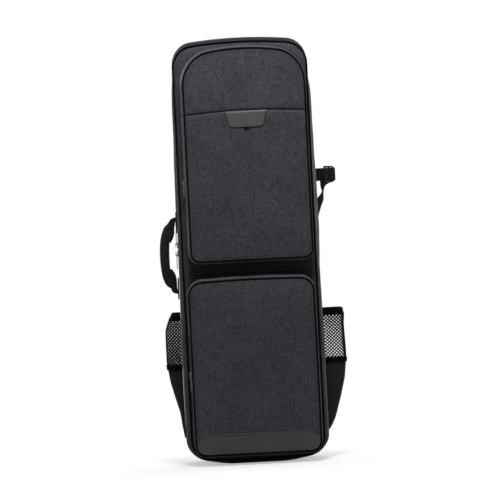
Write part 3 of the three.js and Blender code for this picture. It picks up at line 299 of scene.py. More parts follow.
class Look:
    """A material's nodes, with short calls for the ones that cloth needs."""

    def __init__(self, name, colour, roughness, metallic=0.0, sheen=0.0, gloss=0.5):
        self.material = bpy.data.materials.new(name)
        self.material.use_nodes = True
        self.tree = self.material.node_tree
        self.colour = tuple(colour)
        self.shader = self.tree.nodes["Principled BSDF"].inputs
        for key, value in (
            ("Base Color", (*colour, 1)), ("Roughness", roughness), ("Metallic", metallic),
            ("Sheen Weight", sheen), ("Sheen Roughness", 0.4), ("Specular IOR Level", gloss),
        ):
            self.shader[key].default_value = value
        self.place = self.node("ShaderNodeTexCoord").outputs["Object"]

    def node(self, kind, inputs=(), **settings):
        return add_node(self.tree, kind, inputs, **settings)

    def math(self, operation, *values):
        return self.node("ShaderNodeMath", enumerate(values), operation=operation).outputs[0]

    def total(self, *parts, start=0.0):
        """Values added up, each with its own weight."""
        for value, weight in parts:
            start = self.math("MULTIPLY_ADD", value, weight, start)
        return start

    def mapped(self, place, **settings):
        return self.node("ShaderNodeMapping", {"Vector": place, **settings}).outputs["Vector"]

    def noise(self, place, scale, detail=3.0, roughness=0.55):
        inputs = {"Vector": place, "Scale": scale, "Detail": detail, "Roughness": roughness}
        return self.node("ShaderNodeTexNoise", inputs).outputs["Fac"]

    def yarn(self, place, fineness):
        """Streaks of uneven yarn, which run along the axis whose fineness is small."""
        return self.noise(self.mapped(place, Scale=fineness), 1, 2, 0.6)

    def cells(self, place, fineness, feature, spread=1.0):
        inputs = {"Vector": place, "Scale": fineness, "Randomness": spread}
        return self.node("ShaderNodeTexVoronoi", inputs, feature=feature).outputs["Distance"]

    def split(self, place):
        return self.node("ShaderNodeSeparateXYZ", {0: place}).outputs

    def weave(self, across, along, pitch):
        """Plain weave from two directions in metres: threads pass over and under each other."""
        waves = [self.math("SINE", self.math("MULTIPLY", way, math.pi / pitch))
                 for way in (across, along)]
        return self.math("MULTIPLY_ADD", self.math("MULTIPLY", *waves), 0.5, 0.5)

    def grey(self, value, low, high):
        inputs = {"Value": value, "To Min": low, "To Max": high}
        return self.node("ShaderNodeMapRange", inputs).outputs["Result"]

    def paint(self, value, stops):
        """Paints the colour in lighter and darker tones, by stops of a value and its tone."""
        made = self.node("ShaderNodeValToRGB", {"Fac": value})
        elements = made.color_ramp.elements
        while len(elements) < len(stops):
            elements.new(0.5)
        for element, (at, tone) in zip(elements, stops):
            element.position = at
            element.color = (*[min(1, c * tone) for c in self.colour], 1)
        self.tree.links.new(made.outputs["Color"], self.shader["Base Color"])

    def rough(self, value, low, high):
        self.tree.links.new(self.grey(value, low, high), self.shader["Roughness"])

    def bump(self, height, strength, distance):
        inputs = {"Height": height, "Strength": strength, "Distance": distance}
        if self.shader["Normal"].links:
            inputs["Normal"] = self.shader["Normal"].links[0].from_socket
        made = self.node("ShaderNodeBump", inputs)
        self.tree.links.new(made.outputs["Normal"], self.shader["Normal"])


LOOKS = {}


def cloth_look(name, colour, pitch, fleck, roughness=0.9):
    """Woven canvas: flecked yarn with a slant, a plain weave, soft shading and a little wear."""
    look = Look(name, colour, roughness, sheen=0.12, gloss=0)
    x, y, z = look.split(look.place)
    level = look.yarn(look.place, (90, 90, 900))
    upright = look.yarn(look.place, (800, 800, 80))
    slant = look.yarn(look.mapped(look.place, Rotation=(0, math.radians(-50), 0)), (130, 900, 900))
    broad = look.noise(look.place, 14, 3)
    toned = look.total((level, 0.24), (upright, 0.24), (slant, 0.52), (broad, 0.12), start=-0.06)
    look.paint(toned, [(0.38, 1 - fleck), (0.5, 1), (0.6, 1 + 1.4 * fleck)])
    look.rough(broad, roughness - 0.06, min(1, roughness + 0.05))
    look.bump(look.noise(look.place, 30, 4), 0.35, 0.0012)
    look.bump(look.weave(look.math("ADD", x, y), z, pitch), 0.5, 0.00018)
    return look.material


def ribbed_look(name, colour, pitch, roughness=0.7):
    """Webbing, tape and piping: ribs across the run, read from the piece's own run. The ribs' tone
    is painted shade in their hollows and a painted highlight on their crests.
    """
    look = Look(name, colour, roughness, sheen=0.05, gloss=0)
    across, along, _ = look.split(look.node("ShaderNodeUVMap", uv_map="Run").outputs["UV"])
    ribs = look.weave(across, along, pitch)
    broad = look.noise(look.place, 40, 3)
    # The ribs are painted darker in their hollows and lighter on their crests: painted shade and
    # painted highlight, under a little random tone.
    look.paint(look.total((ribs, 0.6), (broad, 0.4)), [(0.3, 0.72), (0.5, 1), (0.75, 1.35)])
    look.rough(broad, roughness - 0.1, roughness + 0.1)
    look.bump(ribs, 0.7, 0.0003)
    return look.material


def leather_look(name, colour, roughness):
    """Coated leather: a fine grain, soft waves and a broad change of tone."""
    look = Look(name, colour, roughness, gloss=0.2)
    broad = look.noise(look.place, 22, 4)
    look.paint(broad, [(0.3, 0.88), (0.5, 1), (0.75, 1.12)])
    look.rough(broad, roughness - 0.07, roughness + 0.09)
    look.bump(look.noise(look.place, 60, 3), 0.3, 0.0006)
    look.bump(look.cells(look.place, 900, "SMOOTH_F1"), 0.35, 0.0002)
    return look.material


def plush_look(name, colour):
    """Short pile that catches light at its edges."""
    look = Look(name, colour, 0.95, sheen=0.6, gloss=0.1)
    pile, broad = look.noise(look.place, 900, 2, 0.7), look.noise(look.place, 16, 3)
    look.paint(look.total((pile, 0.5), (broad, 0.5)), [(0.35, 0.75), (0.5, 1), (0.66, 1.35)])
    look.bump(pile, 0.6, 0.0008)
    look.bump(broad, 0.3, 0.002)
    return look.material


def spacer_look(name, colour):
    """Knitted spacer mesh: small round cells in a soft ground. The cells are painted darker, as
    painted shade in their hollows, and the ground between them lighter, as a painted highlight.
    """
    look = Look(name, colour, 0.92, sheen=0.3, gloss=0.05)
    hole_depth_and_shade = look.grey(look.cells(look.mapped(look.place, Scale=(1, 0.2, 1)), 330, "F1", 0.25), 0, 1)
    # Painted shade: the cells are painted darker, and the ground between them lighter as a painted
    # highlight.
    look.paint(hole_depth_and_shade, [(0.12, 0.35), (0.32, 1), (0.6, 1.25)])
    look.bump(look.noise(look.place, 30, 4), 0.3, 0.001)
    look.bump(hole_depth_and_shade, 0.8, 0.0008)
    return look.material


def nickel_look(name, colour):
    """Dark nickel, rubbed unevenly."""
    look = Look(name, colour, 0.24, metallic=1.0)
    rub = look.noise(look.place, 260, 4)
    look.rough(rub, 0.14, 0.36)
    look.paint(rub, [(0.3, 0.9), (0.6, 1)])
    look.bump(look.noise(look.place, 900, 2), 0.08, 0.0001)
    return look.material


def plastic_look(name, colour):
    """Moulded plastic with a fine grain."""
    look = Look(name, colour, 0.6, gloss=0.12)
    broad = look.noise(look.place, 90, 3)
    look.paint(broad, [(0.3, 0.9), (0.5, 1), (0.7, 1.15)])
    look.rough(broad, 0.5, 0.7)
    look.bump(look.noise(look.place, 2200, 2), 0.2, 0.0001)
    return look.material


def thread_look(name, colour):
    """Twisted thread."""
    look = Look(name, colour, 0.7, sheen=0.1, gloss=0)
    twist = look.noise(look.mapped(look.place, Scale=(1500, 1500, 1500)), 1, 2)
    look.paint(twist, [(0.3, 0.7), (0.5, 1), (0.7, 1.3)])
    look.bump(twist, 0.4, 0.0002)
    return look.material


# Outlines. A loop is an array of points in X and Z, anticlockwise seen from the front


def steps_between(start, end, count):
    return np.linspace(start, end, count, endpoint=False)


def rounded_loop(left, right, bottom, top, low, high, across=44, corner=9, up=128):
    """A rounded rectangle, from the left end of its bottom edge."""
    quarter = math.pi / 2

    def bend(x, z, radius, start):
        angles = steps_between(start, start + quarter, corner)
        return np.stack([x + radius * np.cos(angles), z + radius * np.sin(angles)], 1)

    def line(start, end, count):
        share = steps_between(0, 1, count)[:, None]
        return np.array(start) * (1 - share) + np.array(end) * share

    return np.concatenate([
        line((left + low, bottom), (right - low, bottom), across),
        bend(right - low, bottom + low, low, -quarter),
        line((right, bottom + low), (right, top - high), up),
        bend(right - high, top - high, high, 0),
        line((right - high, top), (left + high, top), across),
        bend(left + high, top - high, high, quarter),
        line((left, top - high), (left, bottom + low), up),
        bend(left + low, bottom + low, low, 2 * quarter),
    ])


def unit(rows):
    """Rows of length 1. A row of no length stays as it is."""
    return rows / np.maximum(np.linalg.norm(rows, axis=1, keepdims=True), 1e-12)


def directions(path, closed):
    """Unit directions along a path at each of its points."""
    return unit(np.roll(path, -1, 0) - np.roll(path, 1, 0) if closed else np.gradient(path, axis=0))


def run_of(path):
    """How far along a path each of its points lies."""
    return np.concatenate([[0], np.cumsum(np.linalg.norm(np.diff(path, axis=0), axis=1))])


def shut(path):
    """A path that comes back to its first point."""
    return np.concatenate([path, path[:1]])


def outward(loop, closed=True):
    """Unit directions that point out of an anticlockwise loop."""
    along = directions(loop, closed)
    return np.stack([along[:, 1], -along[:, 0]], 1)


def smooth(value):
    value = np.clip(value, 0, 1)
    return value * value * (3 - 2 * value)


def half_width_at(case, z, low, high):
    """Half width at a height: the case narrows towards its shoulders."""
    wall_from = case.base_sag + case.corner_radius
    wall_to = case.height - case.crown - case.corner_radius
    narrow_from = wall_from + (wall_to - wall_from) / 4
    share = np.clip((z - narrow_from) / (wall_to - narrow_from), 0, 1)
    return low + (high - low) * share


def wall_at(case, z):
    """Half the case's width at the zip, at a height."""
    return half_width_at(case, z, case.half_width, case.shoulder_half_width)


# Of the two faces: half width, half width at the shoulders, inset of the top, height of the foot,
# how far the foot sags and radius of the corners, in millimetres
FACES = {"front": (128, 128.8, 9.5, 12, 3, 36), "rear": (131, 124, 7, 14, 8, 34)}


def face_sizes(case, side):
    """Width, shoulder width, top inset, bottom, sag and corner radius of one face of the case."""
    if side == "middle":
        return (case.half_width, case.shoulder_half_width, 0, case.base_sag, case.base_sag,
                case.corner_radius)
    return [size * MM for size in FACES[side]]


def case_loop(case, side):
    width, shoulder, top_inset, bottom, sag, radius = face_sizes(case, side)
    top = case.height - case.crown - top_inset
    loop = rounded_loop(-width, width, bottom, top, radius, radius)
    x, z = loop[:, 0].copy(), loop[:, 1].copy()
    share = np.abs(x) / width
    lift = (np.abs(x) - case.base_flat) / (width - case.base_flat)
    high = z > case.height / 2
    low = z < bottom + radius
    z = np.where(high, z + case.crown * (1 - share * share), z)
    z = np.where(low, z - sag * (1 - smooth(lift)), z)
    x = x * half_width_at(case, z, width, shoulder) / width
    return np.stack([x, z], 1)


def case_loop_towards(case, side, share):
    return case_loop(case, "middle") * (1 - share) + case_loop(case, side) * share


def ring(loop, out, y, closed=True):
    """A loop moved outwards and set at a depth, as points in space."""
    moved = loop + outward(loop, closed) * out
    return np.stack([moved[:, 0], np.full(len(loop), y), moved[:, 1]], 1)


def towards_spine(points, y, shares, half):
    """Rings that close a face: each point goes towards the upright line in the face's middle."""
    z = points[:, 2]
    spine = np.stack([np.zeros(len(z)), np.full(len(z), y),
                      np.clip(z, z.min() + half, z.max() - half)], 1)
    return [points * (1 - s) + spine * s for s in shares]


# Meshes


# Distances within which points are merged: as a rule, and where rings close towards a line
FINE, COARSE = 1e-6, 2e-5


def in_scene(name, data):
    """An object of its own for a mesh, lamp or camera, linked to the scene."""
    made = bpy.data.objects.new(name, data)
    bpy.context.scene.collection.objects.link(made)
    return made


def mesh_object(name, points, faces, look, uvs=None):
    """A piece from points and faces. The map Run has how far across and along each point lies."""
    mesh = bpy.data.meshes.new(name)
    mesh.from_pydata([tuple(p) for p in points], [], [tuple(f) for f in faces])
    if uvs is not None:
        layer = mesh.uv_layers.new(name="Run")
        for loop in mesh.loops:
            layer.data[loop.index].uv = uvs[loop.vertex_index]
    mesh.materials.append(look)
    return in_scene(name, mesh)


def tidy(made, merge=1e-5, flip=True):
    """Merges doubles, turns the faces outwards and shades them smoothly."""
    work = bmesh.new()
    work.from_mesh(made.data)
    bmesh.ops.remove_doubles(work, verts=work.verts, dist=merge)
    bmesh.ops.dissolve_degenerate(work, edges=work.edges, dist=merge / 10)
    if flip:
        bmesh.ops.recalc_face_normals(work, faces=work.faces)
    work.to_mesh(made.data)
    work.free()
    made.data.shade_smooth()
    made.data.set_sharp_from_angle(angle=math.radians(40))
    return made


def cleaned(name, points, faces, look, uvs=None, merge=FINE):
    """A piece from points and faces, with its doubles merged and its faces outwards."""
    return tidy(mesh_object(name, points, faces, material(look), uvs), merge)


def joined_rings(rings, closed_rings=True, closed_loft=False):
    """Points and faces of rings of equal count joined one to the next."""
    count = len(rings[0])
    faces = []
    for r in range(len(rings) if closed_loft else len(rings) - 1):
        here, there = r * count, ((r + 1) % len(rings)) * count
        for i in range(count if closed_rings else count - 1):
            j = (i + 1) % count
            faces.append((here + i, here + j, there + j, there + i))
    return np.concatenate(rings), faces


def tube_ends(rings):
    """Faces over the first and the last of a tube's rings."""
    count, last = len(rings[0]), (len(rings) - 1) * len(rings[0])
    return [tuple(range(count)), tuple(reversed(range(last, last + count)))]


def strip_ends(paths):
    """Faces over the two ends of a strip whose paths go round its section."""
    count = len(paths[0])
    starts = [r * count for r in range(len(paths))]
    return [tuple(starts), tuple(start + count - 1 for start in reversed(starts))]


def faced(made, axis, way):
    """Turns a sheet's faces over if most of them don't point along an axis in the given way."""
    if sum(p.normal[axis] * p.area for p in made.data.polygons) * way < 0:
        made.data.flip_normals()
    return made


def bake(made):
    """Applies what modifiers the piece has, so that its mesh is final."""
    bpy.context.view_layer.update()
    graph = bpy.context.evaluated_depsgraph_get()
    final = bpy.data.meshes.new_from_object(made.evaluated_get(graph), depsgraph=graph)
    made.modifiers.clear()
    made.data = final
    return made


def modify(made, kind, **settings):
    """Adds a modifier with its settings."""
    added = made.modifiers.new(kind.capitalize(), kind)
    for key, value in settings.items():
        setattr(added, key, value)


def thicken(made, thick, offset=-1.0, even=True):
    modify(made, "SOLIDIFY", thickness=thick, offset=offset, use_even_offset=even,
           use_quality_normals=True)
    return bake(made)


def soften(made):
    modify(made, "SUBSURF", levels=1, render_levels=1)
    return bake(made)


def ripple(x, y, z, scale, seed=0.0):
    return noise.fractal(Vector((x / scale + seed, y / scale, z / scale)), 1.0, 2.0, 3)


def material(name):
    return LOOKS[name]


def stands_for(made, replaced, slot):
    """Hides the frame's nodes that a piece stands for. Its slot is not used."""
    if replaced:
        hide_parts(*replaced)
    return made


def place(made, body, *replaced, slot=None):
    """Rides a finished piece on its body, in place of the frame's nodes."""
    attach(made, body)
    return stands_for(made, replaced, slot)


# Rows of like things along a path, made by geometry nodes


def growing_tree(name, path, widths):
    """An empty tree with its inputs: a mesh of edges, widths in metres and a material."""
    tree = bpy.data.node_groups.new(name, "GeometryNodeTree")
    put = tree.interface.new_socket
    put(path, in_out="INPUT", socket_type="NodeSocketGeometry")
    for key, width in widths.items():
        made = put(key, in_out="INPUT", socket_type="NodeSocketFloat")
        made.default_value, made.subtype = width, "DISTANCE"
    put("Finish", in_out="INPUT", socket_type="NodeSocketMaterial")
    put("Piece", in_out="OUTPUT", socket_type="NodeSocketGeometry")
    return tree, tree.nodes.new("NodeGroupInput").outputs


def end_tree(tree, given, shape, kinds):
    """Ends a tree: its shape goes through nodes of these kinds and gets its material."""
    for kind in kinds:
        shape = add_node(tree, kind, {"Geometry": shape}).outputs["Geometry"]
    inputs = {"Geometry": shape, "Material": given["Finish"]}
    painted = add_node(tree, "GeometryNodeSetMaterial", inputs).outputs["Geometry"]
    add_node(tree, "NodeGroupOutput", {"Piece": painted})
    return tree


def row_tree():
    """Beads along a path: each one is turned along the path, with its width set along depth."""
    tree, given = growing_tree("Row along a path", "Path", {
        "Pitch": 0.0037, "Half length": 0.0013, "Half width": 0.0004, "Half height": 0.0004})
    curve = add_node(tree, "GeometryNodeMeshToCurve", {"Mesh": given["Path"]})
    spots = add_node(tree, "GeometryNodeCurveToPoints",
                     {"Curve": curve.outputs["Curve"], "Length": given["Pitch"]}, mode="LENGTH")
    bead = add_node(tree, "GeometryNodeMeshUVSphere", {"Segments": 6, "Rings": 4, "Radius": 1})
    size = add_node(tree, "ShaderNodeCombineXYZ", {
        "X": given["Half length"], "Y": given["Half width"], "Z": given["Half height"]})
    turn = add_node(tree, "FunctionNodeAlignRotationToVector",
                    {"Vector": spots.outputs["Tangent"]}, axis="X")
    level = add_node(tree, "FunctionNodeAlignRotationToVector",
                     {"Vector": (0, 1, 0), "Rotation": turn.outputs["Rotation"]},
                     axis="Y", pivot_axis="X")
    copies = add_node(tree, "GeometryNodeInstanceOnPoints", {
        "Points": spots.outputs["Points"], "Instance": bead.outputs["Mesh"],
        "Rotation": level.outputs["Rotation"], "Scale": size.outputs["Vector"]})
    return end_tree(tree, given, copies.outputs["Instances"],
                    ("GeometryNodeRealizeInstances", "GeometryNodeSetShadeSmooth"))


def strand_tree():
    """Round strands along a mesh's edges, for the net."""
    tree, given = growing_tree("Strands of a net", "Lattice", {"Strand radius": 0.0004})
    curve = add_node(tree, "GeometryNodeMeshToCurve", {"Mesh": given["Lattice"]})
    section = add_node(tree, "GeometryNodeCurvePrimitiveCircle",
                       {"Resolution": 4, "Radius": given["Strand radius"]})
    sweep = add_node(tree, "GeometryNodeCurveToMesh", {
        "Curve": curve.outputs["Curve"], "Profile Curve": section.outputs["Curve"],
        "Fill Caps": True})
    return end_tree(tree, given, sweep.outputs["Mesh"], ("GeometryNodeRealizeInstances",))


TREES = {}


def grown(name, points, edges, tree, values):
    """A plain mesh grown by a node tree from points and edges."""
    mesh = bpy.data.meshes.new(name)
    mesh.from_pydata([tuple(p) for p in points], edges, [])
    made = in_scene(name, mesh)
    modifier = made.modifiers.new("Nodes", "NODES")
    modifier.node_group = TREES[tree]
    for item in TREES[tree].interface.items_tree:
        if item.in_out == "INPUT" and item.name in values:
            modifier[item.identifier] = values[item.name]
    return bake(made)


def rows_of(name, paths, finish, pitch, sizes):
    """Like things along several paths, each an array of points, open at its ends."""
    points, edges = [], []
    for path in paths:
        first = len(points)
        points += [tuple(p) for p in path]
        edges += [(first + i, first + i + 1) for i in range(len(path) - 1)]
    values = {"Pitch": pitch, "Half length": sizes[0], "Half width": sizes[1],
              "Half height": sizes[2], "Finish": material(finish)}
    made = grown(name, points, edges, "row", values)
    if not made.data.materials:
        made.data.materials.append(material(finish))
    return made


def stitches(name, paths):
    sewing = bpy.context.scene.bag_sewing
    return rows_of(name, paths, "thread", sewing.stitch_pitch,
                   (sewing.stitch / 2, sewing.thread, sewing.thread))


def teeth(name, paths):
    sewing = bpy.context.scene.bag_sewing
    return rows_of(name, paths, "teeth", sewing.tooth_pitch,
                   (sewing.tooth_pitch * 0.36, sewing.tooth, sewing.tooth_thick))


def tube(name, path, radius, look, closed, sides=10):
    """A round cord along a path, with its run in the map Run. Paths are points in space."""
    path = np.asarray(path)
    along = directions(path, closed)
    side = unit(np.cross(along, (0.0, 1.0, 0.0)))
    up = np.cross(side, along)
    rings, uvs = [], []
    turns = steps_between(0, 2 * math.pi, sides)
    for i, (centre, run) in enumerate(zip(path, run_of(path))):
        rings.append(np.array([
            centre + radius * (math.cos(a) * side[i] + math.sin(a) * up[i]) for a in turns
        ]))
        uvs += [(radius * a, run) for a in turns]
    points, faces = joined_rings(rings, True, closed)
    if not closed:
        faces += tube_ends(rings)
    return cleaned(name, points, faces, look, uvs)


# The two padded halves of the case


def half_of(case, side):
    """Rim, face and taper depths of one half, and the way from its rim to its face."""
    if side == "front":
        return case.zip_depth - case.zip_gap, case.front, case.front_taper, -1
    return case.zip_depth + case.zip_gap, case.rear, case.rear_taper, 1


# Heights between which each wall's bulge grows, and those between which both fade, in metres
RIGHT_GROWS, LEFT_GROWS, BULGE_FADES = (0.30, 0.46), (0.43, 0.51), (0.705, 0.775)


def wall_bulge(case, side, x, y, z):
    """How far the wall swells outwards behind the lid, over the upper half of the bag."""
    if side == "front" or y > case.rear_taper:
        return 0.0
    most, grows = (case.right_bulge, RIGHT_GROWS) if x > 0 else (case.left_bulge, LEFT_GROWS)
    tall = smooth((z - grows[0]) / (grows[1] - grows[0]))
    tall *= smooth((BULGE_FADES[1] - z) / (BULGE_FADES[1] - BULGE_FADES[0]))
    low = case.zip_depth + case.zip_gap + case.tape_width
    share = max(0.0, (y - low) / (case.rear_taper - low))
    return most * math.sin(math.pi * share) * float(tall)


def dent_ring(case, side, points, soft):
    """Sinks soft dents into one ring of a shell, and swells the wall. The base stays level."""
    _, face, _, way = half_of(case, side)
    flat = abs(points[:, 1].mean() - face) < MM
    normals = outward(points[:, [0, 2]])
    for i, (x, y, z) in enumerate(points):
        dent = max(0.0, case.wrinkle * soft * (0.5 + 0.6 * ripple(x, y, z, 0.07, 3.1)))
        if flat:
            points[i, 1] = y - way * dent
        else:
            points[i, 0] += normals[i, 0] * (wall_bulge(case, side, x, y, z) - dent)
            points[i, 2] -= normals[i, 1] * dent * min(1, max(0, (z - 0.006) / 0.02))


def case_half(context, name, side):
    """One half's shell: its face, the roll and seat of the piping, its wall, rim and inner side."""
    case = context.scene.bag_case
    rim, face, taper, way = half_of(case, side)
    edge, middle = case_loop_towards(case, side, 1), case_loop(case, "middle")
    roll = case.roll if side == "front" else 0.0
    spine = 0.11
    rings, softness = [], []

    def add(points, soft=0.0):
        rings.append(points)
        softness.append(soft)

    first = ring(edge, -case.seat - case.roll_wide, face)
    for points in reversed(towards_spine(first, face, [0.12, 0.26, 0.42, 0.6, 0.8, 1], spine)):
        add(points, 0.25)
    add(first)
    for share in (0.3, 0.55, 0.8, 1):
        back = face - way * roll * share * share
        add(ring(edge, -case.seat - case.roll_wide * (1 - share), back))
    add(ring(edge, -case.seat * 0.5, face - way * (roll + case.seat * 0.62)))
    face_bands = len(rings) - 1
    for share in np.linspace(1, 0, 9):
        y = taper + (face - way * (roll + case.seat) - taper) * share
        add(ring(case_loop_towards(case, side, share * share), 0, y), 0 if share == 1 else 0.8)
    rebate = rim + way * (case.tape_width + 2 * GAP)
    count = max(2, int(abs(taper - rebate) / 0.007))
    for share in np.linspace(0, 1, count + 1)[1:]:
        add(ring(middle, 0, taper + (rebate - taper) * share), min(0.8, 3 * (1 - share)))
    for out, y in ((case.rebate, rebate), (case.rebate, rim), (case.wall, rim), (case.wall, taper)):
        add(ring(middle, -out, y))
    inside = face - way * case.wall
    inner = ring(edge, -case.wall, inside)
    for points in [inner] + towards_spine(inner, inside, [0.3, 0.65, 1], spine):
        add(points)
    for points, soft in zip(rings, softness):
        if soft:
            dent_ring(case, side, points, soft)
    points, faces = joined_rings(rings)
    made = mesh_object(name, points, faces, material("canvas"))
    if side == "front":
        made.data.materials.append(material("heather"))
        for polygon in made.data.polygons:
            polygon.material_index = int(polygon.index < face_bands * len(first))
    return tidy(made, COARSE)


def case_lining(context, name, side):
    """Plush lining inside one half, with a soft rolled edge."""
    case = context.scene.bag_case
    rim, face, taper, way = half_of(case, side)
    outer, inner = case.wall + 0.0009, case.wall + 0.0036
    middle, spine = case_loop(case, "middle"), 0.1

    def at(distance, y):
        share = max(0.0, (y - taper) / (face - way * case.wall - taper))
        return ring(case_loop_towards(case, side, share), -distance, y)

    start = at(inner, face - way * inner)
    rings = list(reversed(towards_spine(start, face - way * inner, [0.15, 0.4, 0.7, 1], spine)))
    rings += [start, at(inner, face - way * (inner + 0.004)), at(inner, taper)]
    lip = rim + way * 0.004
    rings += [ring(middle, -inner, y) for y in np.linspace(taper, lip, 5)[1:]]
    rings += [ring(middle, -(outer + inner) / 2, lip - way * 0.0006), ring(middle, -outer, lip)]
    back = at(outer, face - way * outer)
    rings += [ring(middle, -outer, taper), back]
    rings += towards_spine(back, face - way * outer, [0.5, 1], spine)
    for points in rings[:5]:
        for i, (x, y, z) in enumerate(points):
            points[i, 1] -= way * 0.0012 * max(0.0, 0.4 + ripple(x, y, z, 0.09, 7.7))
    points, faces = joined_rings(rings)
    return cleaned(name, points, faces, "plush", merge=COARSE)


def space(path, y):
    """A path in X and Z, set at a depth."""
    return np.stack([path[:, 0], np.full(len(path), y), path[:, 1]], 1)


class BAG_OT_case(Operator):
    """Make the padded canvas halves of the case and their piping"""

    bl_idname = "bag.case"
    bl_label = "Case halves"

    def execute(self, context):
        case = context.scene.bag_case
        for side, body, shell, cord, lined in (
            ("rear", "case", "rear_shell", "rear_piping", "rear_lining"),
            ("front", "lid", "lid_shell", "front_piping", "lid_lining"),
        ):
            _, face, _, way = half_of(case, side)
            roll = case.roll if side == "front" else 0.0
            place(case_half(context, f"{side}_canvas", side), body, shell, slot="plain_canvas")
            edge = case_loop_towards(case, side, 1)
            seam = ring(edge, -SUNK, face - way * (roll + SUNK))
            piping = tube(f"{side}_piping_cord", seam, case.piping, "trim", True)
            place(piping, body, cord, slot="trim")
            place(case_lining(context, f"{side}_plush", side), body, lined, slot="plush")
            row = ring(edge, 0.0002, face - way * (roll + case.seat + BESIDE))
            place(stitches(f"{side}_edge_stitches", [shut(row)]), body)
        return {"FINISHED"}


# The zip round the case, and the fabric that the lid turns on


def zip_stretch(case, loop):
    """The points of a loop that have the zip, from the right wall's foot round to its top, and
    those on the right wall, which have the hinge."""
    low = case.base_sag + case.corner_radius
    high = case.height - case.crown - case.corner_radius
    hinge = (loop[:, 0] > 0) & (loop[:, 1] > low) & (loop[:, 1] < high)
    strip = list(np.where(hinge)[0])
    turned = np.roll(np.arange(len(loop)), -strip[-1])
    return [strip[-1]] + [i for i in turned if not hinge[i]] + [strip[0]], strip


def band_between(name, paths, look):
    """A strip through paths of equal count, side by side, with its run in the map Run."""
    points, faces = joined_rings(paths, False)
    across = run_of([path[0] for path in paths])
    uvs = [(wide, long) for wide in across for long in run_of(paths[0])]
    return mesh_object(name, points, faces, material(look), uvs)


def zip_tape(name, loop, zip_y, way, near, far, low, high):
    """A woven tape with a corded edge beside the teeth. Loop is open, with outward directions."""
    out = outward(loop, False)
    section = [
        (low, far), (high, far - 0.0003), (high, near + 0.0026), (high + 0.0005, near + 0.0016),
        (high + 0.0002, near + 0.0005), (low, near),
    ]
    paths = [space(loop + out * distance, zip_y + way * y) for distance, y in section]
    points, faces = joined_rings(paths, False, True)
    uvs = [(distance + y, run) for distance, y in section for run in run_of(loop)]
    faces += strip_ends(paths)
    return cleaned(name, points, faces, "webbing", uvs)


class BAG_OT_main_zip(Operator):
    """Make the zip round the case, its teeth and the fabric hinge"""

    bl_idname = "bag.main_zip"
    bl_label = "Main zip"

    def execute(self, context):
        case = context.scene.bag_case
        loop = case_loop(case, "middle")
        outs = outward(loop)
        on_zip, on_hinge = zip_stretch(case, loop)
        run, out = loop[on_zip], outs[on_zip]
        low, thick, teeth_near = GAP - case.rebate, 0.0011, 0.0013
        for side, body, node in (
                ("rear", "case", "rear_zip_tape"), ("front", "lid", "lid_zip_tape")):
            way = half_of(case, side)[3]
            tape = zip_tape(f"{side}_tape", run, case.zip_depth, way, 0.0014,
                            case.zip_gap + case.tape_width, low, low + thick)
            place(tape, body, node, slot="webbing")
            row = [space(run - out * 0.0009, case.zip_depth + way * teeth_near)]
            place(teeth(f"{side}_teeth", row), body, slot="nylon_plastic")
            above = run + out * (low + thick + 0.0002)
            lines = [space(above, case.zip_depth + way * (case.zip_gap + at))
                     for at in (0.003, 0.0085)]
            place(stitches(f"{side}_tape_stitches", lines), body)
        half = case.zip_gap + case.tape_width
        strips = []
        for y in np.linspace(-half, half, 17):
            bow = 0.0007 * math.cos(0.5 * math.pi * y / half)
            lift = 0.0012 + bow - case.rebate
            strips.append(space(loop[on_hinge] + outs[on_hinge] * lift, case.zip_depth + y))
        strip = thicken(tidy(band_between("hinge_canvas", strips, "webbing"), FINE), MM)
        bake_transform(strip)
        stands_for(strip, ["fabric_hinge"], "plain_canvas")
        return {"FINISHED"}


# Pockets on the lid


# Extra columns of the front's grid from the pocket's middle, in millimetres, for a sharp pleat
PLEAT_COLUMNS = (-5, -2.4, -1.1, -0.4, 0.1, 0.6, 1.4, 6.6, 7.4, 8.4)


def pocket_raw(pocket, inset):
    """Rows and columns of a pocket's front, pulled in from its outline by an inset."""
    left = pocket.centre_x - pocket.half_width + inset
    wide = 2 * (pocket.half_width - inset)
    bottom, top = pocket.bottom + inset, pocket.top - pocket.crown - inset
    low, high = pocket.low_radius - inset, pocket.high_radius - inset
    quarter, row_height = math.pi / 2, 4.6 * MM
    rows = [bottom + low * (1 - math.cos(a)) for a in steps_between(0, quarter, 8)]
    stops = [bottom + low, top - high]
    for mark in (pocket.hinge, pocket.seam):
        if stops[0] < mark < stops[-1]:
            stops.insert(-1, mark)
    for start, end in zip(stops, stops[1:]):
        rows += list(steps_between(start, end, max(2, int((end - start) / row_height))))
    rows += [top - high + high * math.sin(a) for a in np.linspace(0, quarter, 9)]
    pleat = [(pocket.centre_x + x * MM - left) / wide for x in PLEAT_COLUMNS]
    across = np.array(sorted([*np.linspace(0, 1, 57), *pleat]))
    table = np.zeros((len(rows), len(across), 2))
    for r, z in enumerate(rows):
        pull = 0.0
        if z < bottom + low:
            pull = low - math.sqrt(max(0, low * low - (bottom + low - z) ** 2))
        elif z > top - high:
            pull = high - math.sqrt(max(0, high * high - (z - top + high) ** 2))
        table[r, :, 0] = left + pull + (wide - 2 * pull) * across
        table[r, :, 1] = z
    return table


def pocket_crown(pocket, table):
    """Arches the rows above the seam, or above the middle, towards the crown."""
    middle = (pocket.bottom + pocket.top) / 2
    start = pocket.seam if pocket.seam < pocket.top else middle
    end = pocket.top - pocket.crown
    share = (table[..., 0] - pocket.centre_x) / pocket.half_width
    lift = smooth((table[..., 1] - start) / (end - 0.6 * pocket.high_radius - start))
    made = table.copy()
    made[..., 1] += pocket.crown * (1 - share * share) * lift
    return made


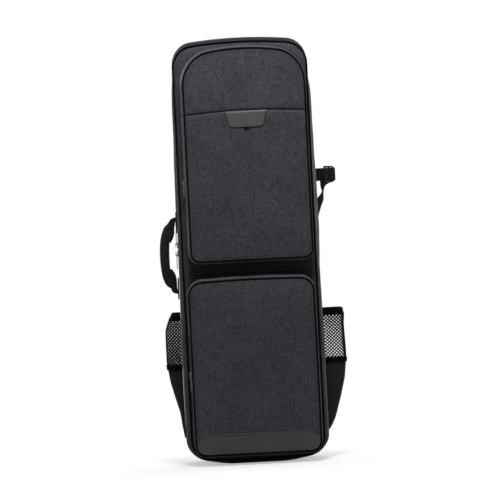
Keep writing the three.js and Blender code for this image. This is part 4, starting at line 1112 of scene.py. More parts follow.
def pleat_depth(pocket, x, z, low):
    """How deep the pleat under the badge lies: an inner fold, its mouth and its crease."""
    fall, across = pocket.pleat_top - z, x - pocket.centre_x
    if fall <= 0:
        return 0.0
    sunk = smooth(across / 0.0012) * smooth((pocket.pleat_wide - across) / 0.0012)
    mouth = max(0.0, 1 - fall / 0.016) * smooth(1 - abs(across) / 0.005)
    crease = math.exp(-(across / 0.0009) ** 2)
    ends = min(1.0, max(0.0, (z - low) / 0.02), fall / 0.002)
    return (0.0024 * sunk + 0.0035 * mouth + 0.003 * crease) * ends


def front_depth(pocket, case, x, z):
    """Depth of a pocket's swollen front at a place, with its soft dents, seam and pleat."""
    low, high = pocket.bottom + pocket.seat, pocket.top - pocket.seat
    share = (x - pocket.centre_x) / pocket.half_width
    high -= pocket.crown * share * share
    side = pocket.half_width - pocket.seat - abs(x - pocket.centre_x)
    swell = 1 - math.exp(-max(0.0, side) / 0.026)
    swell *= 1 - math.exp(-max(0.0, z - low) / pocket.low_turn)
    swell *= 1 - math.exp(-max(0.0, high - z) / pocket.high_turn)
    dents = 0.0013 * ripple(x, 0, z, 0.085, pocket.bottom * 10)
    dents += 0.0003 * ripple(x, 1, z, 0.03, 2.2)
    out = (pocket.puff + dents) * swell
    if pocket.seam < pocket.top:
        out -= 0.0014 * math.exp(-((z - pocket.seam) / 0.0024) ** 2)
        out -= pleat_depth(pocket, x, z, low)
    return case.front - pocket.depth - out


def boundary_of(table_shape):
    """Indices of a grid's edge, anticlockwise from its lower left corner."""
    rows, columns = table_shape
    grid = np.arange(rows * columns).reshape(rows, columns)
    return np.concatenate([grid[0, :-1], grid[:-1, -1], grid[-1, :0:-1], grid[:0:-1, 0]])


def pocket_loop(pocket):
    """A pocket's outline, as the edge of its front's grid moved out to the full size."""
    table = pocket_crown(pocket, pocket_raw(pocket, pocket.seat))
    edge = boundary_of(table.shape[:2])
    inner = table.reshape(-1, 2)[edge]
    return inner + outward(inner) * pocket.seat


def zip_plane(pocket, case):
    """Depth of a pocket's zip, halfway between the lid and the front's edge."""
    back = case.front - GAP
    return back + (case.front - pocket.depth - back) * 0.5


def at_depth(pocket, case, loop, outs, y, out=0.0):
    """A stretch of a pocket's outline at a depth: it widens, leans and rises towards the lid."""
    back, face = case.front - GAP, case.front - pocket.depth
    share = (y - face) / (back - face)
    moved = loop + outs * np.reshape(pocket.flare * share + out, (-1, 1))
    moved[:, 0] -= pocket.lean * share
    moved[:, 1] += pocket.head_flare * share * np.maximum(outs[:, 1], 0) ** 2
    return moved


def pocket_front(context, pocket, name):
    """The front's swollen grid with the wall that runs back from its edge to the zip."""
    case = context.scene.bag_case
    face = case.front - pocket.depth
    table = pocket_crown(pocket, pocket_raw(pocket, pocket.seat))
    rows, columns = table.shape[:2]
    points = [(x, front_depth(pocket, case, x, z), z) for x, z in table.reshape(-1, 2)]
    grid = np.arange(rows * columns).reshape(rows, columns)
    faces = [
        (grid[r, c], grid[r, c + 1], grid[r + 1, c + 1], grid[r + 1, c])
        for r in range(rows - 1) for c in range(columns - 1)
    ]
    loop = pocket_loop(pocket)
    outs = outward(loop)
    back = zip_plane(pocket, case) - pocket.zip_gap
    steps = [(-pocket.seat * 0.5, face + pocket.seat * 0.55)]
    steps += [(0, y) for y in np.linspace(face + pocket.seat, back, 5)]
    edge = boundary_of((rows, columns))
    for out, y in steps:
        first = len(points)
        dents = np.array([0 if out else 0.0005 * ripple(x, y, z, 0.03, 5.5) for x, z in loop])
        points += [(x, y, z) for x, z in at_depth(pocket, case, loop, outs, y, out + dents)]
        here = np.arange(first, first + len(loop))
        faces += zip(edge, np.roll(edge, -1), np.roll(here, -1), here)
        edge = here
    return tidy(mesh_object(name, points, faces, material("heather")), FINE, False)


def face_front(made):
    """Turns a front's faces so that they point away from the bag, then gives it thickness."""
    return thicken(faced(made, 1, -1), 0.0022, even=False)


def parted(made, name, z, upper):
    """The part of a piece above or below a height, as a piece of its own."""
    work = bmesh.new()
    work.from_mesh(made.data)
    bmesh.ops.bisect_plane(
        work, geom=work.verts[:] + work.edges[:] + work.faces[:], dist=FINE,
        plane_co=(0, 0, z), plane_no=(0, 0, 1), clear_inner=upper, clear_outer=not upper,
    )
    mesh = bpy.data.meshes.new(name)
    work.to_mesh(mesh)
    work.free()
    for look in made.data.materials:
        mesh.materials.append(look)
    mesh.shade_smooth()
    return in_scene(name, mesh)


def drop_seam(made, pocket):
    """Lowers the cloth near the seam towards its two ends, as the sewn line runs."""
    for vertex in made.data.vertices:
        share = (vertex.co.x - pocket.centre_x) / pocket.half_width
        near = math.exp(-((vertex.co.z - pocket.seam) / 0.04) ** 2)
        vertex.co.z -= pocket.seam_drop * share * share * near


def bends(made, pocket, flap, *replaced, slot="heather_canvas"):
    """Bakes a piece's place into its mesh, and hides the frame's nodes that it stands for."""
    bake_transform(made)
    return stands_for(made, replaced, slot)


def above(path, z):
    """The stretch of a closed path above a height, in order along it."""
    high = path[:, -1] > z
    start = np.where(high & ~np.roll(high, 1))[0][0]
    turned = np.roll(path, -start, 0)
    return turned[np.roll(high, -start)]


def gusset(context, pocket, name):
    """The strip from the lid to the zip, which runs on to the front below the zip's ends."""
    case = context.scene.bag_case
    loop = pocket_loop(pocket)
    outs = outward(loop)
    back = case.front + 0.0022
    zip_edge = zip_plane(pocket, case) + pocket.zip_gap
    front_edge = zip_plane(pocket, case) - pocket.zip_gap + GAP
    free = smooth((loop[:, 1] - pocket.zip_from + 0.006) / 0.005)
    edge = front_edge * (1 - free) + zip_edge * free
    rings = []
    stops = [(s, 0) for s in np.linspace(0, 1, 7)] + [(1, pocket.wall), (0, pocket.wall)]
    for share, thick in stops:
        depths = back + (edge - back) * share
        dents = -thick * np.ones(len(loop))
        if not thick and 0 < share < 1:
            dents += [0.0007 * ripple(x, y, z, 0.035, 1.7) for (x, z), y in zip(loop, depths)]
        moved = at_depth(pocket, case, loop, outs, depths, dents)
        rings.append(np.stack([moved[:, 0], depths, moved[:, 1]], 1))
    points, faces = joined_rings(rings, True, True)
    return cleaned(name, points, faces, "heather")


def pocket_fronts(context, label, pocket, flap):
    """The front's cloth: one piece, or a yoke above the seam and a panel below it."""
    whole = pocket_front(context, pocket, f"{label}_front")
    nodes = f"{label}_panel", f"{label}_flap"
    if pocket.seam > pocket.top:
        whole.name = f"{label}_front_canvas"
        bends(face_front(whole), pocket, flap, *nodes)
        return
    top = parted(whole, f"{label}_yoke_canvas", pocket.seam + 0.0001, True)
    front = parted(whole, f"{label}_front_canvas", pocket.seam - 0.0001, False)
    bpy.data.objects.remove(whole)
    for part in (top, front):
        drop_seam(part, pocket)
    place(face_front(top), flap, f"{label}_yoke", slot="heather_canvas")
    bends(face_front(front), pocket, flap, *nodes)


def pocket_zip(context, label, pocket, flap):
    """Both tapes of a pocket's zip, on the lid's side and on the flap's, with their teeth."""
    case = context.scene.bag_case
    zip_y, loop = zip_plane(pocket, case), pocket_loop(pocket)
    high = -pocket.wall - GAP
    for part, body, way, z, node in (
        ("back", "lid", 1, pocket.zip_from, f"{label}_zip_tape"),
        ("flap", flap, -1, pocket.hinge + GAP, f"{label}_flap_tape"),
    ):
        run = above(loop, z)
        base = at_depth(pocket, case, run, outward(run, False), zip_y)
        tape = zip_tape(f"{label}_{part}_tape", base, zip_y, way, 0.0012, pocket.tape_width,
                        high - MM, high)
        place(tape, body, node, slot="webbing")
        row = [space(base - outward(base, False) * 0.0022, zip_y + way * 0.0012)]
        place(teeth(f"{label}_{part}_teeth", row), body, slot="nylon_plastic")


def pocket_stitches(context, label, pocket, flap):
    """Rows of stitches round the front's edge and on both sides of the zip."""
    case = context.scene.bag_case
    zip_y, loop = zip_plane(pocket, case), pocket_loop(pocket)
    outs = outward(loop)
    inner = loop - outs * (pocket.seat + 0.0035)
    rim = np.array([(x, front_depth(pocket, case, x, z) - 0.0001, z) for x, z in inner])
    bends(stitches(f"{label}_edge_stitches", [shut(rim)]), pocket, flap, slot=None)
    for part, way, z, body in (
        ("gusset", 1, pocket.zip_from, "lid"), ("flap", -1, pocket.hinge + pocket.bend, flap),
    ):
        run = above(at_depth(pocket, case, loop, outs, zip_y + way * 0.005, 0.0002), z)
        row = space(run, zip_y + way * (pocket.zip_gap + BESIDE))
        place(stitches(f"{label}_{part}_stitches", [row]), body)


def pocket_pieces(context, label, pocket, flap):
    case = context.scene.bag_case
    canvas = gusset(context, pocket, f"{label}_gusset_canvas")
    place(canvas, "lid", f"{label}_gusset", slot="heather_canvas")
    pocket_fronts(context, label, pocket, flap)
    seam = ring(pocket_loop(pocket), -SUNK, case.front - pocket.depth + SUNK)
    cord = tube(f"{label}_piping_cord", seam, pocket.piping, "trim", True)
    bends(cord, pocket, flap, f"{label}_piping", f"{label}_flap_piping", slot="trim")
    pocket_zip(context, label, pocket, flap)
    pocket_stitches(context, label, pocket, flap)


class BAG_OT_upper_pocket(Operator):
    """Make the arched upper pocket, its yoke, zip and piping"""

    bl_idname = "bag.upper_pocket"
    bl_label = "Upper pocket"

    def execute(self, context):
        pocket_pieces(context, "upper_pocket", context.scene.bag_upper, "upper_flap")
        return {"FINISHED"}


class BAG_OT_lower_pocket(Operator):
    """Make the lower pocket, its zip and piping"""

    bl_idname = "bag.lower_pocket"
    bl_label = "Lower pocket"

    def execute(self, context):
        pocket_pieces(context, "lower_pocket", context.scene.bag_lower, "lower_flap")
        return {"FINISHED"}


# Badge, bumper patch and the sewn details of the fronts


def on_front(pocket, case, points, above_by):
    """Points on a pocket's swollen front, at a height above its cloth."""
    return np.array([(x, front_depth(pocket, case, x, z) - above_by, z) for x, z in points])


def mirrored(points, centre):
    """The same points from the last to the first, on the other side of an upright line."""
    return [(2 * centre - x, z) for x, z in reversed(points)]


def sheet_on_front(name, context, pocket, centre, half, bottom, top, thick, look, steps):
    """A thin patch laid on a pocket's front. Its half width follows its height, and its edges
    follow how far along them a point lies."""
    rows, columns = steps
    flat = []
    for tall in np.linspace(0, 1, rows + 1):
        for share in np.linspace(0, 1, columns + 1):
            z = bottom(share) + (top(share) - bottom(share)) * tall
            flat.append((centre + half(z) * (2 * share - 1), z))
    grid = np.arange(len(flat)).reshape(rows + 1, columns + 1)
    faces = [(grid[r, c], grid[r, c + 1], grid[r + 1, c + 1], grid[r + 1, c])
             for r in range(rows) for c in range(columns)]
    points = on_front(pocket, context.scene.bag_case, flat, GAP)
    made = thicken(faced(mesh_object(name, points, faces, material(look)), 1, -1), thick, 1)
    modify(made, "BEVEL", width=thick * 0.4, segments=3, limit_method="ANGLE", angle_limit=0.9)
    return bake(made)


def rim_on_front(name, context, pocket, line, above_by, look):
    """A thin cord along the edge of a patch."""
    path = on_front(pocket, context.scene.bag_case, line, above_by)
    return tube(name, path, 0.0008, look, False, 6)


class BAG_OT_badge(Operator):
    """Make the bare leather badge under the yoke, with its stitches and rim"""

    bl_idname = "bag.badge"
    bl_label = "Badge"

    def execute(self, context):
        scene = context.scene
        case, pocket, sizes = scene.bag_case, scene.bag_upper, scene.bag_trims
        top, inset = pocket.seam - GAP, 0.0026
        foot, centre = top - sizes.badge_tall, pocket.centre_x + sizes.badge_off

        def half(z):
            share = (top - z) / sizes.badge_tall
            base = sizes.badge_top + (sizes.badge_foot - sizes.badge_top) * share
            corner = max(0.0, share - 0.8) / 0.2
            return base - sizes.badge_corner * (1 - math.sqrt(max(0.0, 1 - corner * corner)))

        patch = sheet_on_front("badge_leather", context, pocket, centre, half, lambda _: foot,
                               lambda _: top, 0.0013, "badge", (22, 36))
        place(patch, "upper_flap", "badge", slot="badge_leather")
        # A near-black cord round the badge: its edge, painted dark as painted shade along the
        # badge's rim.
        rim = [(centre - half(z), z) for z in np.linspace(top - 0.0006, foot, 26)]
        rim += mirrored(rim, centre)
        cord = rim_on_front("badge_edge_painted_shade", context, pocket, rim, 0.0007, "trim")
        place(cord, "upper_flap", slot="trim")
        side = [(centre - half(z) + inset, z) for z in np.linspace(top - 0.0025, foot + 0.0024, 20)]
        low = np.linspace(side[-1][0], 2 * centre - side[-1][0], 11)[1:-1]
        row = side + [(x, side[-1][1]) for x in low] + mirrored(side, centre)
        sewn = stitches("badge_stitches", [on_front(pocket, case, row, 0.0017)])
        place(sewn, "upper_flap")
        return {"FINISHED"}


class BAG_OT_bumper(Operator):
    """Make the coated leather patch at the foot of the lower pocket"""

    bl_idname = "bag.bumper"
    bl_label = "Bumper patch"

    def execute(self, context):
        scene = context.scene
        case, pocket, sizes = scene.bag_case, scene.bag_lower, scene.bag_trims
        centre, foot = pocket.centre_x, pocket.bottom + 0.0032
        wide, radius = pocket.half_width - 0.0026, pocket.low_radius - 0.003
        shoulder, top, inset = sizes.bumper_shoulder, sizes.bumper_top, 0.003

        def half(z):
            if z < foot + radius:
                return wide - radius + math.sqrt(max(0.0, radius ** 2 - (foot + radius - z) ** 2))
            share = min(1.0, max(0.0, (z - shoulder) / (top - shoulder)))
            return wide + (sizes.bumper_top_half - wide) * share

        def head(share):
            return top - 0.0015 * math.sin(math.pi * share)

        def upper_edge(short, low):
            ends = sizes.bumper_top_half - short
            return [(centre + x, head(0.5 + x / wide / 2) - low)
                    for x in np.linspace(-ends, ends, 30)]

        patch = sheet_on_front("bumper_leather", context, pocket, centre, half, lambda _: foot,
                               head, 0.0014, "leather", (26, 60))
        place(patch, "lid", "bumper_patch", slot="coated_leather")
        heights = [*np.linspace(foot + 0.02, shoulder - MM, 8),
                   *np.linspace(shoulder, top - inset, 8)]
        side = [(centre - half(z) + inset, z) for z in heights]
        row = side + upper_edge(2 * inset, inset) + mirrored(side, centre)
        place(stitches("bumper_stitches", [on_front(pocket, case, row, 0.0018)]), "lid")
        # The turned edge along the slanted and upper edges, as a cord of the lighter badge leather:
        # painted highlight where light catches it.
        slant = [(centre - half(z), z) for z in np.linspace(shoulder - MM, top - 0.0004, 7)]
        rim = slant + upper_edge(inset, 0) + mirrored(slant, centre)
        cord = rim_on_front("bumper_turned_edge_painted_highlight", context, pocket, rim, 0.0013, "badge")
        place(cord, "lid", slot="coated_leather")
        return {"FINISHED"}


# Bottle pockets: a gathered cloth foot, a net, and an elastic binding at the mouth


# Points round a strip of a bottle pocket, such as its binding
STRIP_POINTS = 49

# Share of its reach that a pocket has at shares of its height, below its binding
LEFT_FULLNESS = [(0, 0.1), (0.09, 0.22), (0.2, 0.32), (0.33, 0.6), (0.45, 0.84), (0.58, 0.98),
                 (0.7, 1), (0.86, 0.98)]
RIGHT_FULLNESS = [(0, 0.02), (0.03, 0.19), (0.1, 0.4), (0.26, 0.68), (0.42, 0.92), (0.57, 1.02),
                  (0.73, 1), (0.88, 0.99)]


def bottle_line(context, side, z, wall, points=33):
    """One level of a bottle pocket, from the wall round its three sides and back to the wall."""
    case, sizes = context.scene.bag_case, context.scene.bag_bottle
    full, mouth, stops = (sizes.right_reach, sizes.right_mouth, RIGHT_FULLNESS) if side > 0 else (
        sizes.left_reach, sizes.left_mouth, LEFT_FULLNESS)
    stops = stops + [(0.93, 0.55 + mouth / 2), (1, mouth)]
    share = (z - sizes.bottom) / (sizes.top - sizes.bottom)
    z -= sizes.right_drop * (side > 0) * float(smooth((z - sizes.net) / (sizes.band - sizes.net)))
    fullness = float(np.interp(share, [s for s, _ in stops], [f for _, f in stops]))
    reach = max(full * fullness - wall, GAP)
    front, middle = sizes.front + wall, (sizes.front + sizes.rear) / 2
    radius = min(sizes.corner, reach) * 0.9
    line = [(0.0, front), (max(0.0, reach - radius) * 0.5, front)]
    for angle in np.linspace(0, math.pi / 2, 8):
        in_by, on_by = radius * (1 - math.sin(angle)), radius * (1 - math.cos(angle))
        line.append((reach - in_by, front + on_by))
    line += [(reach, front + radius + (middle - front - radius) * s) for s in (0.5, 1)]
    line += [(x, 2 * middle - y) for x, y in reversed(line[:-1])]
    line = np.array(line)
    at = run_of(line)
    even = np.linspace(0, at[-1], points)
    x, y = np.interp(even, at, line[:, 0]), np.interp(even, at, line[:, 1])
    return np.stack([side * (wall_at(case, z) + GAP + x), y, np.full(points, z)], 1)


def bottle_sheet(context, name, side):
    """A pocket's cloth foot, with soft gathers towards its base."""
    sizes = context.scene.bag_bottle
    thick, gather = 0.0012, 0.0022
    lines = [bottle_line(context, side, z, thick) for z in np.linspace(sizes.bottom, sizes.net, 26)]
    for line in lines:
        low = 1 - smooth((line[0, 2] - sizes.bottom) / (sizes.net - sizes.bottom))
        for i, (x, y, z) in enumerate(line):
            fold = math.sin(i * 1.9 + 2.3 * ripple(0, y, z, 0.05, side)) * gather * low
            soft = 0.0011 * ripple(x, y, z, 0.04, 3.3)
            inwards = -side * abs(math.sin(math.pi * i / (len(line) - 1)))
            line[i, 0] += inwards * max(0.0, fold + soft)
    points, faces = joined_rings(lines, False)
    made = cleaned(name, points, faces, "canvas")
    return thicken(faced(made, 0, side), thick)


def net_edges(lines, across, up):
    """Strands of a diamond net over a grid of levels: two families that cross at each knot."""
    grid = np.array(lines)
    rows, columns = grid.shape[:2]

    def at(u, v):
        r, c = v * (rows - 1), u * (columns - 1)
        r0, c0 = min(int(r), rows - 2), min(int(c), columns - 2)
        low, high = (row[c0] * (c0 + 1 - c) + row[c0 + 1] * (c - c0) for row in grid[r0:r0 + 2])
        return low * (r0 + 1 - r) + high * (r - r0)

    knots = [(r, c) for r in range(up + 1) for c in range(r % 2, across + 1, 2)]
    index = {knot: i for i, knot in enumerate(knots)}
    points = [tuple(at(c / across, r / up)) for r, c in knots]
    edges = [(here, index[r + 1, c + step]) for (r, c), here in index.items()
             for step in (-1, 1) if (r + 1, c + step) in index]
    return points, edges


def bottle_net(context, name, side):
    """The open net between a pocket's cloth and its binding."""
    sizes = context.scene.bag_bottle
    past = 0.003
    lines = [bottle_line(context, side, z, MM, 65)
             for z in np.linspace(sizes.net - past, sizes.band + past, 30)]
    for line in lines:
        for i, (x, y, z) in enumerate(line):
            line[i, 0] -= side * 0.0012 * (0.5 + 0.5 * ripple(x, y, z, 0.05, 4.1))
    across = int(run_of(lines[15])[-1] / sizes.mesh) * 2
    up = int((sizes.band - sizes.net + 2 * past) / sizes.mesh) * 2
    points, edges = net_edges(lines, across, up)
    net = grown(name, points, edges, "strands", {"Strand radius": sizes.strand})
    net.data.materials.clear()
    net.data.materials.append(material("net"))
    return net


def bottle_strip(context, name, side, section, closed):
    """A strip round a pocket through heights, each with its distance in from the outer side."""
    paths = [bottle_line(context, side, z, wall, STRIP_POINTS) for z, wall in section]
    points, faces = joined_rings(paths, False, closed)
    if closed:
        faces += strip_ends(paths)
    band = context.scene.bag_bottle.band
    along = run_of(bottle_line(context, side, band, 0.0001, STRIP_POINTS))
    uvs = [(path[0, 2] + r * 0.0005, run) for r, path in enumerate(paths) for run in along]
    return cleaned(name, points, faces, "trim", uvs)


class BAG_OT_bottle_pockets(Operator):
    """Make the two bottle pockets on the side walls"""

    bl_idname = "bag.bottle_pockets"
    bl_label = "Bottle pockets"

    def execute(self, context):
        sizes = context.scene.bag_bottle
        net, band, top = sizes.net, sizes.band, sizes.top
        elastic = (
            (band, 0.0001), (band - 0.0004, 0.001), (band, 0.0022), (top - 0.001, 0.0028),
            (top, 0.0018), (top, 0.0008), (top - 0.001, 0.0001), (band + 0.0003, 0),
        )
        hem = (
            (net - 0.0078, 0.0002), (net - 0.0078, -0.0008), (net, -0.0008), (net + 0.0005, 0.0004),
            (net, 0.0012),
        )
        rows = (band + 0.0022, top - 0.0024, net - 0.0016, net - 0.006)
        for name, side in (("left_bottle", -1), ("right_bottle", 1)):
            panel = bottle_sheet(context, f"{name}_cloth", side)
            place(panel, "case", f"{name}_panel", slot="heather_canvas")
            place(bottle_net(context, f"{name}_mesh", side), "case", f"{name}_net", slot="net")
            binding = bottle_strip(context, f"{name}_elastic", side, elastic, True)
            place(binding, "case", f"{name}_binding", slot="trim")
            sewn = [bottle_line(context, side, z, -0.0002, STRIP_POINTS) for z in rows]
            place(stitches(f"{name}_stitches", sewn), "case")
            strip = faced(bottle_strip(context, f"{name}_net_hem", side, hem, False), 0, side)
            place(thicken(strip, 0.0006), "case", slot="trim")
        return {"FINISHED"}


# Ribbons: webbing, strap pads and the handle follow the stops of their solids


def flat_region(face):
    """A face with the faces joined to it that lie in its plane."""
    region, edge = {face}, [face]
    while edge:
        for link in edge.pop().edges:
            for other in link.link_faces:
                if other not in region and other.normal.angle(face.normal, 0) < 0.01:
                    region.add(other)
                    edge.append(other)
    return region


def levels_from(start, beside):
    """Points ring by ring, each ring beside the one before."""
    levels, done = [start], set(start)
    while after := set().union(*(beside[i] for i in levels[-1])) - done:
        levels.append(after)
        done |= after
    return levels


def stops_of(node, corners):
    """Centres, widths and directions of the rings that a ribbon's solid was swept through."""
    work = bmesh.new()
    work.from_mesh(frame["nodes"][node].data)
    bmesh.ops.remove_doubles(work, verts=work.verts[:], dist=COARSE)
    work.verts.index_update()
    beside = [{e.other_vert(v).index for e in v.link_edges} for v in work.verts]
    spots = np.array([v.co[:] for v in work.verts])
    found, seen = [], set()
    for face in work.faces:
        region = flat_region(face)
        key = frozenset(v.index for f in region for v in f.verts)
        if len(key) != corners or key in seen:
            continue
        seen.add(key)
        levels = levels_from(key, beside)
        if {len(level) for level in levels} == {corners} and len(levels) * corners == len(spots):
            found.append((sum(f.calc_area() for f in region), levels))
    work.free()
    if not found:
        raise RuntimeError(f"{node} isn't a ribbon of {corners} corners")
    made = []
    for level in min(found, key=lambda row: row[0])[1]:
        points = spots[sorted(level)]
        centre = points.mean(0)
        axes = np.linalg.svd(points - centre)[2][:2]
        made.append([centre, *axes, *np.ptp((points - centre) @ axes.T, axis=0)])
    for first, after in zip(made, made[1:]):
        for k in (1, 2):
            if first[k] @ after[k] < 0:
                after[k] = -after[k]
    return made


def fine_stops(stops, spacing):
    """Stops spaced evenly and close together along a smooth curve through the given ones."""
    centres, sides = np.array([s[0] for s in stops]), np.array([s[1] for s in stops])
    at = run_of(centres)
    even = np.linspace(0, at[-1], max(3, int(at[-1] / spacing) + 1))
    slopes = np.gradient(centres, at, axis=0)
    middle = []
    for t in even:
        i = min(max(np.searchsorted(at, t, "right") - 1, 0), len(at) - 2)
        h = at[i + 1] - at[i]
        u = (t - at[i]) / h
        a, b, c, d = 2 * u**3 - 3 * u**2 + 1, u**3 - 2 * u**2 + u, -2 * u**3 + 3 * u**2, u**3 - u**2
        middle.append(a * centres[i] + b * h * slopes[i]
                      + c * centres[i + 1] + d * h * slopes[i + 1])
    side = np.stack([np.interp(even, at, sides[:, k]) for k in range(3)], 1)
    wide, thick = (np.interp(even, at, [s[k] for s in stops]) for k in (3, 4))
    forward = directions(np.array(middle), False)
    across = unit(side - forward * (side * forward).sum(1, keepdims=True))
    return list(zip(middle, across, np.cross(forward, across), wide, thick, even))


def solid_of(name, rings, look, uvs=None):
    """A closed piece through rings, with its two ends filled."""
    points, faces = joined_rings(rings)
    return cleaned(name, points, faces + tube_ends(rings), look, uvs)


def swept(name, stops, look, section):
    """A ribbon through its stops. The section gives shares of half its width and thickness."""
    rings, uvs = [], []
    for centre, across, through, wide, thick, run in stops:
        rings.append(np.array([
            centre + across * (u * wide / 2) + through * (v * thick / 2) for u, v in section
        ]))
        uvs += [(u * wide / 2 + v * thick / 2, run) for u, v in section]
    return solid_of(name, rings, look, uvs)


def flat_section(steps=6, round_share=0.12):
    """A webbing's section: flat faces, with rounded woven edges."""
    half = [(s, 1) for s in np.linspace(-1 + round_share, 1 - round_share, steps)]
    half += [(1 - round_share * 0.3, 0.7), (1, 0)]
    return half + [(-u, -v) for u, v in half]


def pad_section(steps=9, power=2.6):
    """A padded sleeve's section: crowned faces that pull in to their edges."""
    made = []
    for angle in steps_between(0, 2 * math.pi, 4 * steps):
        spot = math.cos(angle), math.sin(angle)
        made.append([math.copysign(abs(at) ** (2 / power), at) for at in spot])
    return made


def ribbon_piece(name, node, look="webbing", spacing=0.004):
    """Flat webbing in place of a ribbon's solid."""
    stops = fine_stops(stops_of(node, 4), spacing)
    return place(swept(name, stops, look, flat_section()), "case", node, slot="webbing")


# Padded pieces


def inflated(made, voxel, pressure, cap, keep_y=None):
    """Remeshes a pad, swells it by the cloth solver, and limits how far its points move."""
    modify(made, "REMESH", mode="VOXEL", voxel_size=voxel)
    made = bake(made)
    start = np.array([v.co[:] for v in made.data.vertices])
    cloth = made.modifiers.new("Cloth", "CLOTH")
    settings = cloth.settings
    settings.quality, settings.mass = 5, 0.3
    settings.tension_stiffness = settings.compression_stiffness = 12
    settings.bending_stiffness = 0.4
    settings.use_pressure, settings.uniform_pressure_force = True, pressure
    settings.effector_weights.gravity = 0
    cloth.collision_settings.use_self_collision = False
    scene = bpy.context.scene
    for number in range(1, 21):
        scene.frame_set(number)
    swollen = made.evaluated_get(bpy.context.evaluated_depsgraph_get()).data
    ended = np.array([v.co[:] for v in swollen.vertices])
    made.modifiers.remove(cloth)
    moved = ended - start
    far = np.maximum(np.linalg.norm(moved, axis=1), 1e-9)
    ended = start + moved * np.minimum(1, cap / far)[:, None]
    if keep_y:
        ended[:, 1] = np.clip(ended[:, 1], *keep_y)
    for vertex, spot in zip(made.data.vertices, ended):
        vertex.co = spot
    scene.frame_set(1)
    return soften(made)


def plate_mesh(name, loop, low_y, high_y, edge, look, rows=3):
    """A pillow between two depths, from a closed outline in x and z."""
    middle, half = (low_y + high_y) / 2, (high_y - low_y) / 2
    rings = [ring(loop, -edge * (1 - math.sqrt(max(0.0, 1 - share * share))), middle + half * share)
             for share in np.linspace(-1, 1, 2 * rows + 1)]
    low, high = (towards_spine(rim, y, [0.2, 0.5, 1], 0.02)
                 for rim, y in ((rings[0], low_y), (rings[-1], high_y)))
    points, faces = joined_rings(low[::-1] + rings + high)
    return cleaned(name, points, faces, look, merge=COARSE)


def node_loop(node, radius, inset=0.0):
    """A rounded outline round a frame's node, seen from behind."""
    (x0, _, z0), (x1, _, z1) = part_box(node)
    return rounded_loop(x0 + inset, x1 - inset, z0 + inset, z1 - inset, radius, radius, 18, 8, 30)


class BAG_OT_back_pads(Operator):
    """Make the two channelled back pads with their binding"""

    bl_idname = "bag.back_pads"
    bl_label = "Back pads"

    def execute(self, context):
        sizes = context.scene.bag_back
        for name in ("lower_back_pad", "upper_back_pad"):
            (left, y0, z0), (right, y1, z1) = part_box(name)
            loop = node_loop(name, sizes.pad_radius, 0.0025)
            pad = plate_mesh(f"{name}_cushion", loop, y0 + 0.0002, y1 - 0.0022, 0.003, "spacer")
            pad = inflated(pad, 0.005, 3.0, 0.0025, (y0 + 0.0001, y1 - 0.0003))
            channels = np.linspace(z0, z1, sizes.channels + 2)[1:-1]
            for vertex in pad.data.vertices:
                x, y, z = vertex.co
                if y > (y0 + y1) / 2:
                    dip = max(math.exp(-((z - at) / 0.0045) ** 2) for at in channels)
                    vertex.co.y -= 0.0042 * dip + 0.0006 * (1 + ripple(x, y, z, 0.05, 6.6))
            pad.data.shade_smooth()
            place(pad, "case", name, slot="heather_canvas")
            edge = ring(node_loop(name, sizes.pad_radius, 0.0012), 0, y0 + 0.0022)
            place(tube(f"{name}_binding", edge, 0.0018, "trim", True), "case", slot="trim")
            xs = np.linspace(left + 0.006, right - 0.006, 40)
            rows = [np.stack([xs, np.full(40, y1 - 0.0057), np.full(40, at + off)], 1)
                    for at in channels for off in (-0.0012, 0.0012)]
            place(stitches(f"{name}_stitches", rows), "case")
        return {"FINISHED"}


def sewn_plate(name, node, radius):
    """A flat patch sewn on the back, with two rows of stitches round it."""
    (_, y0, _), (_, y1, _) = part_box(node)
    loop = node_loop(node, radius)
    made = plate_mesh(f"{name}_patch", loop, y0 + 0.0001, y1, 0.0006, "canvas", 2)
    place(made, "case", node, slot="trim")
    rows = [shut(ring(node_loop(node, max(0.002, radius - inset), inset), 0, y1 + 0.0001))
            for inset in (0.0022, 0.005)]
    place(stitches(f"{name}_stitches", rows), "case")


class BAG_OT_straps(Operator):
    """Make the shoulder straps, their webbing, yoke and anchors"""

    bl_idname = "bag.straps"
    bl_label = "Shoulder straps"

    def execute(self, context):
        for side in ("right", "left"):
            self.strap_pad(f"{side}_strap_pad")
            for part in ("strap_short_web", "strap_webbing"):
                ribbon_piece(f"{side}_{part}_ribbon", f"{side}_{part}", spacing=0.0025)
        radius = context.scene.bag_back.patch_radius
        sewn_plate("yoke", "strap_yoke", radius)
        for node in ("right_strap_anchor", "left_strap_anchor"):
            sewn_plate(node, node, radius)
        return {"FINISHED"}

    def strap_pad(self, node):
        """A padded strap, with bound edges and two rows of stitches on its outer face."""
        power = 3.4
        stops = fine_stops(stops_of(node, 8), 0.005)
        pad = swept(f"{node}_cushion", stops, "canvas", pad_section(9, power))
        for vertex in pad.data.vertices:
            x, y, z = vertex.co
            vertex.co.y = y - 0.0006 * (0.5 + 0.5 * ripple(x, y, z, 0.03, 8.1))
        place(pad, "case", node, slot="heather_canvas")
        for way, letter in ((-1, "a"), (1, "b")):
            path = [centre + across * way * (wide / 2 - 0.0009)
                    for centre, across, _, wide, _, _ in stops]
            cord = tube(f"{node}_binding_{letter}", path, 0.0017, "trim", False)
            place(cord, "case", slot="trim")
        outer = 1 if stops[len(stops) // 2][2][1] > 0 else -1
        rows = []
        for u in (-0.012, 0.012):
            rows.append(np.array([
                centre + across * u + through * outer * (
                    0.0001 + thick / 2 * (1 - (abs(u) / (wide / 2)) ** power) ** (1 / power))
                for centre, across, through, wide, thick, _ in stops[1:-1]]))
        place(stitches(f"{node}_stitches", rows), "case")


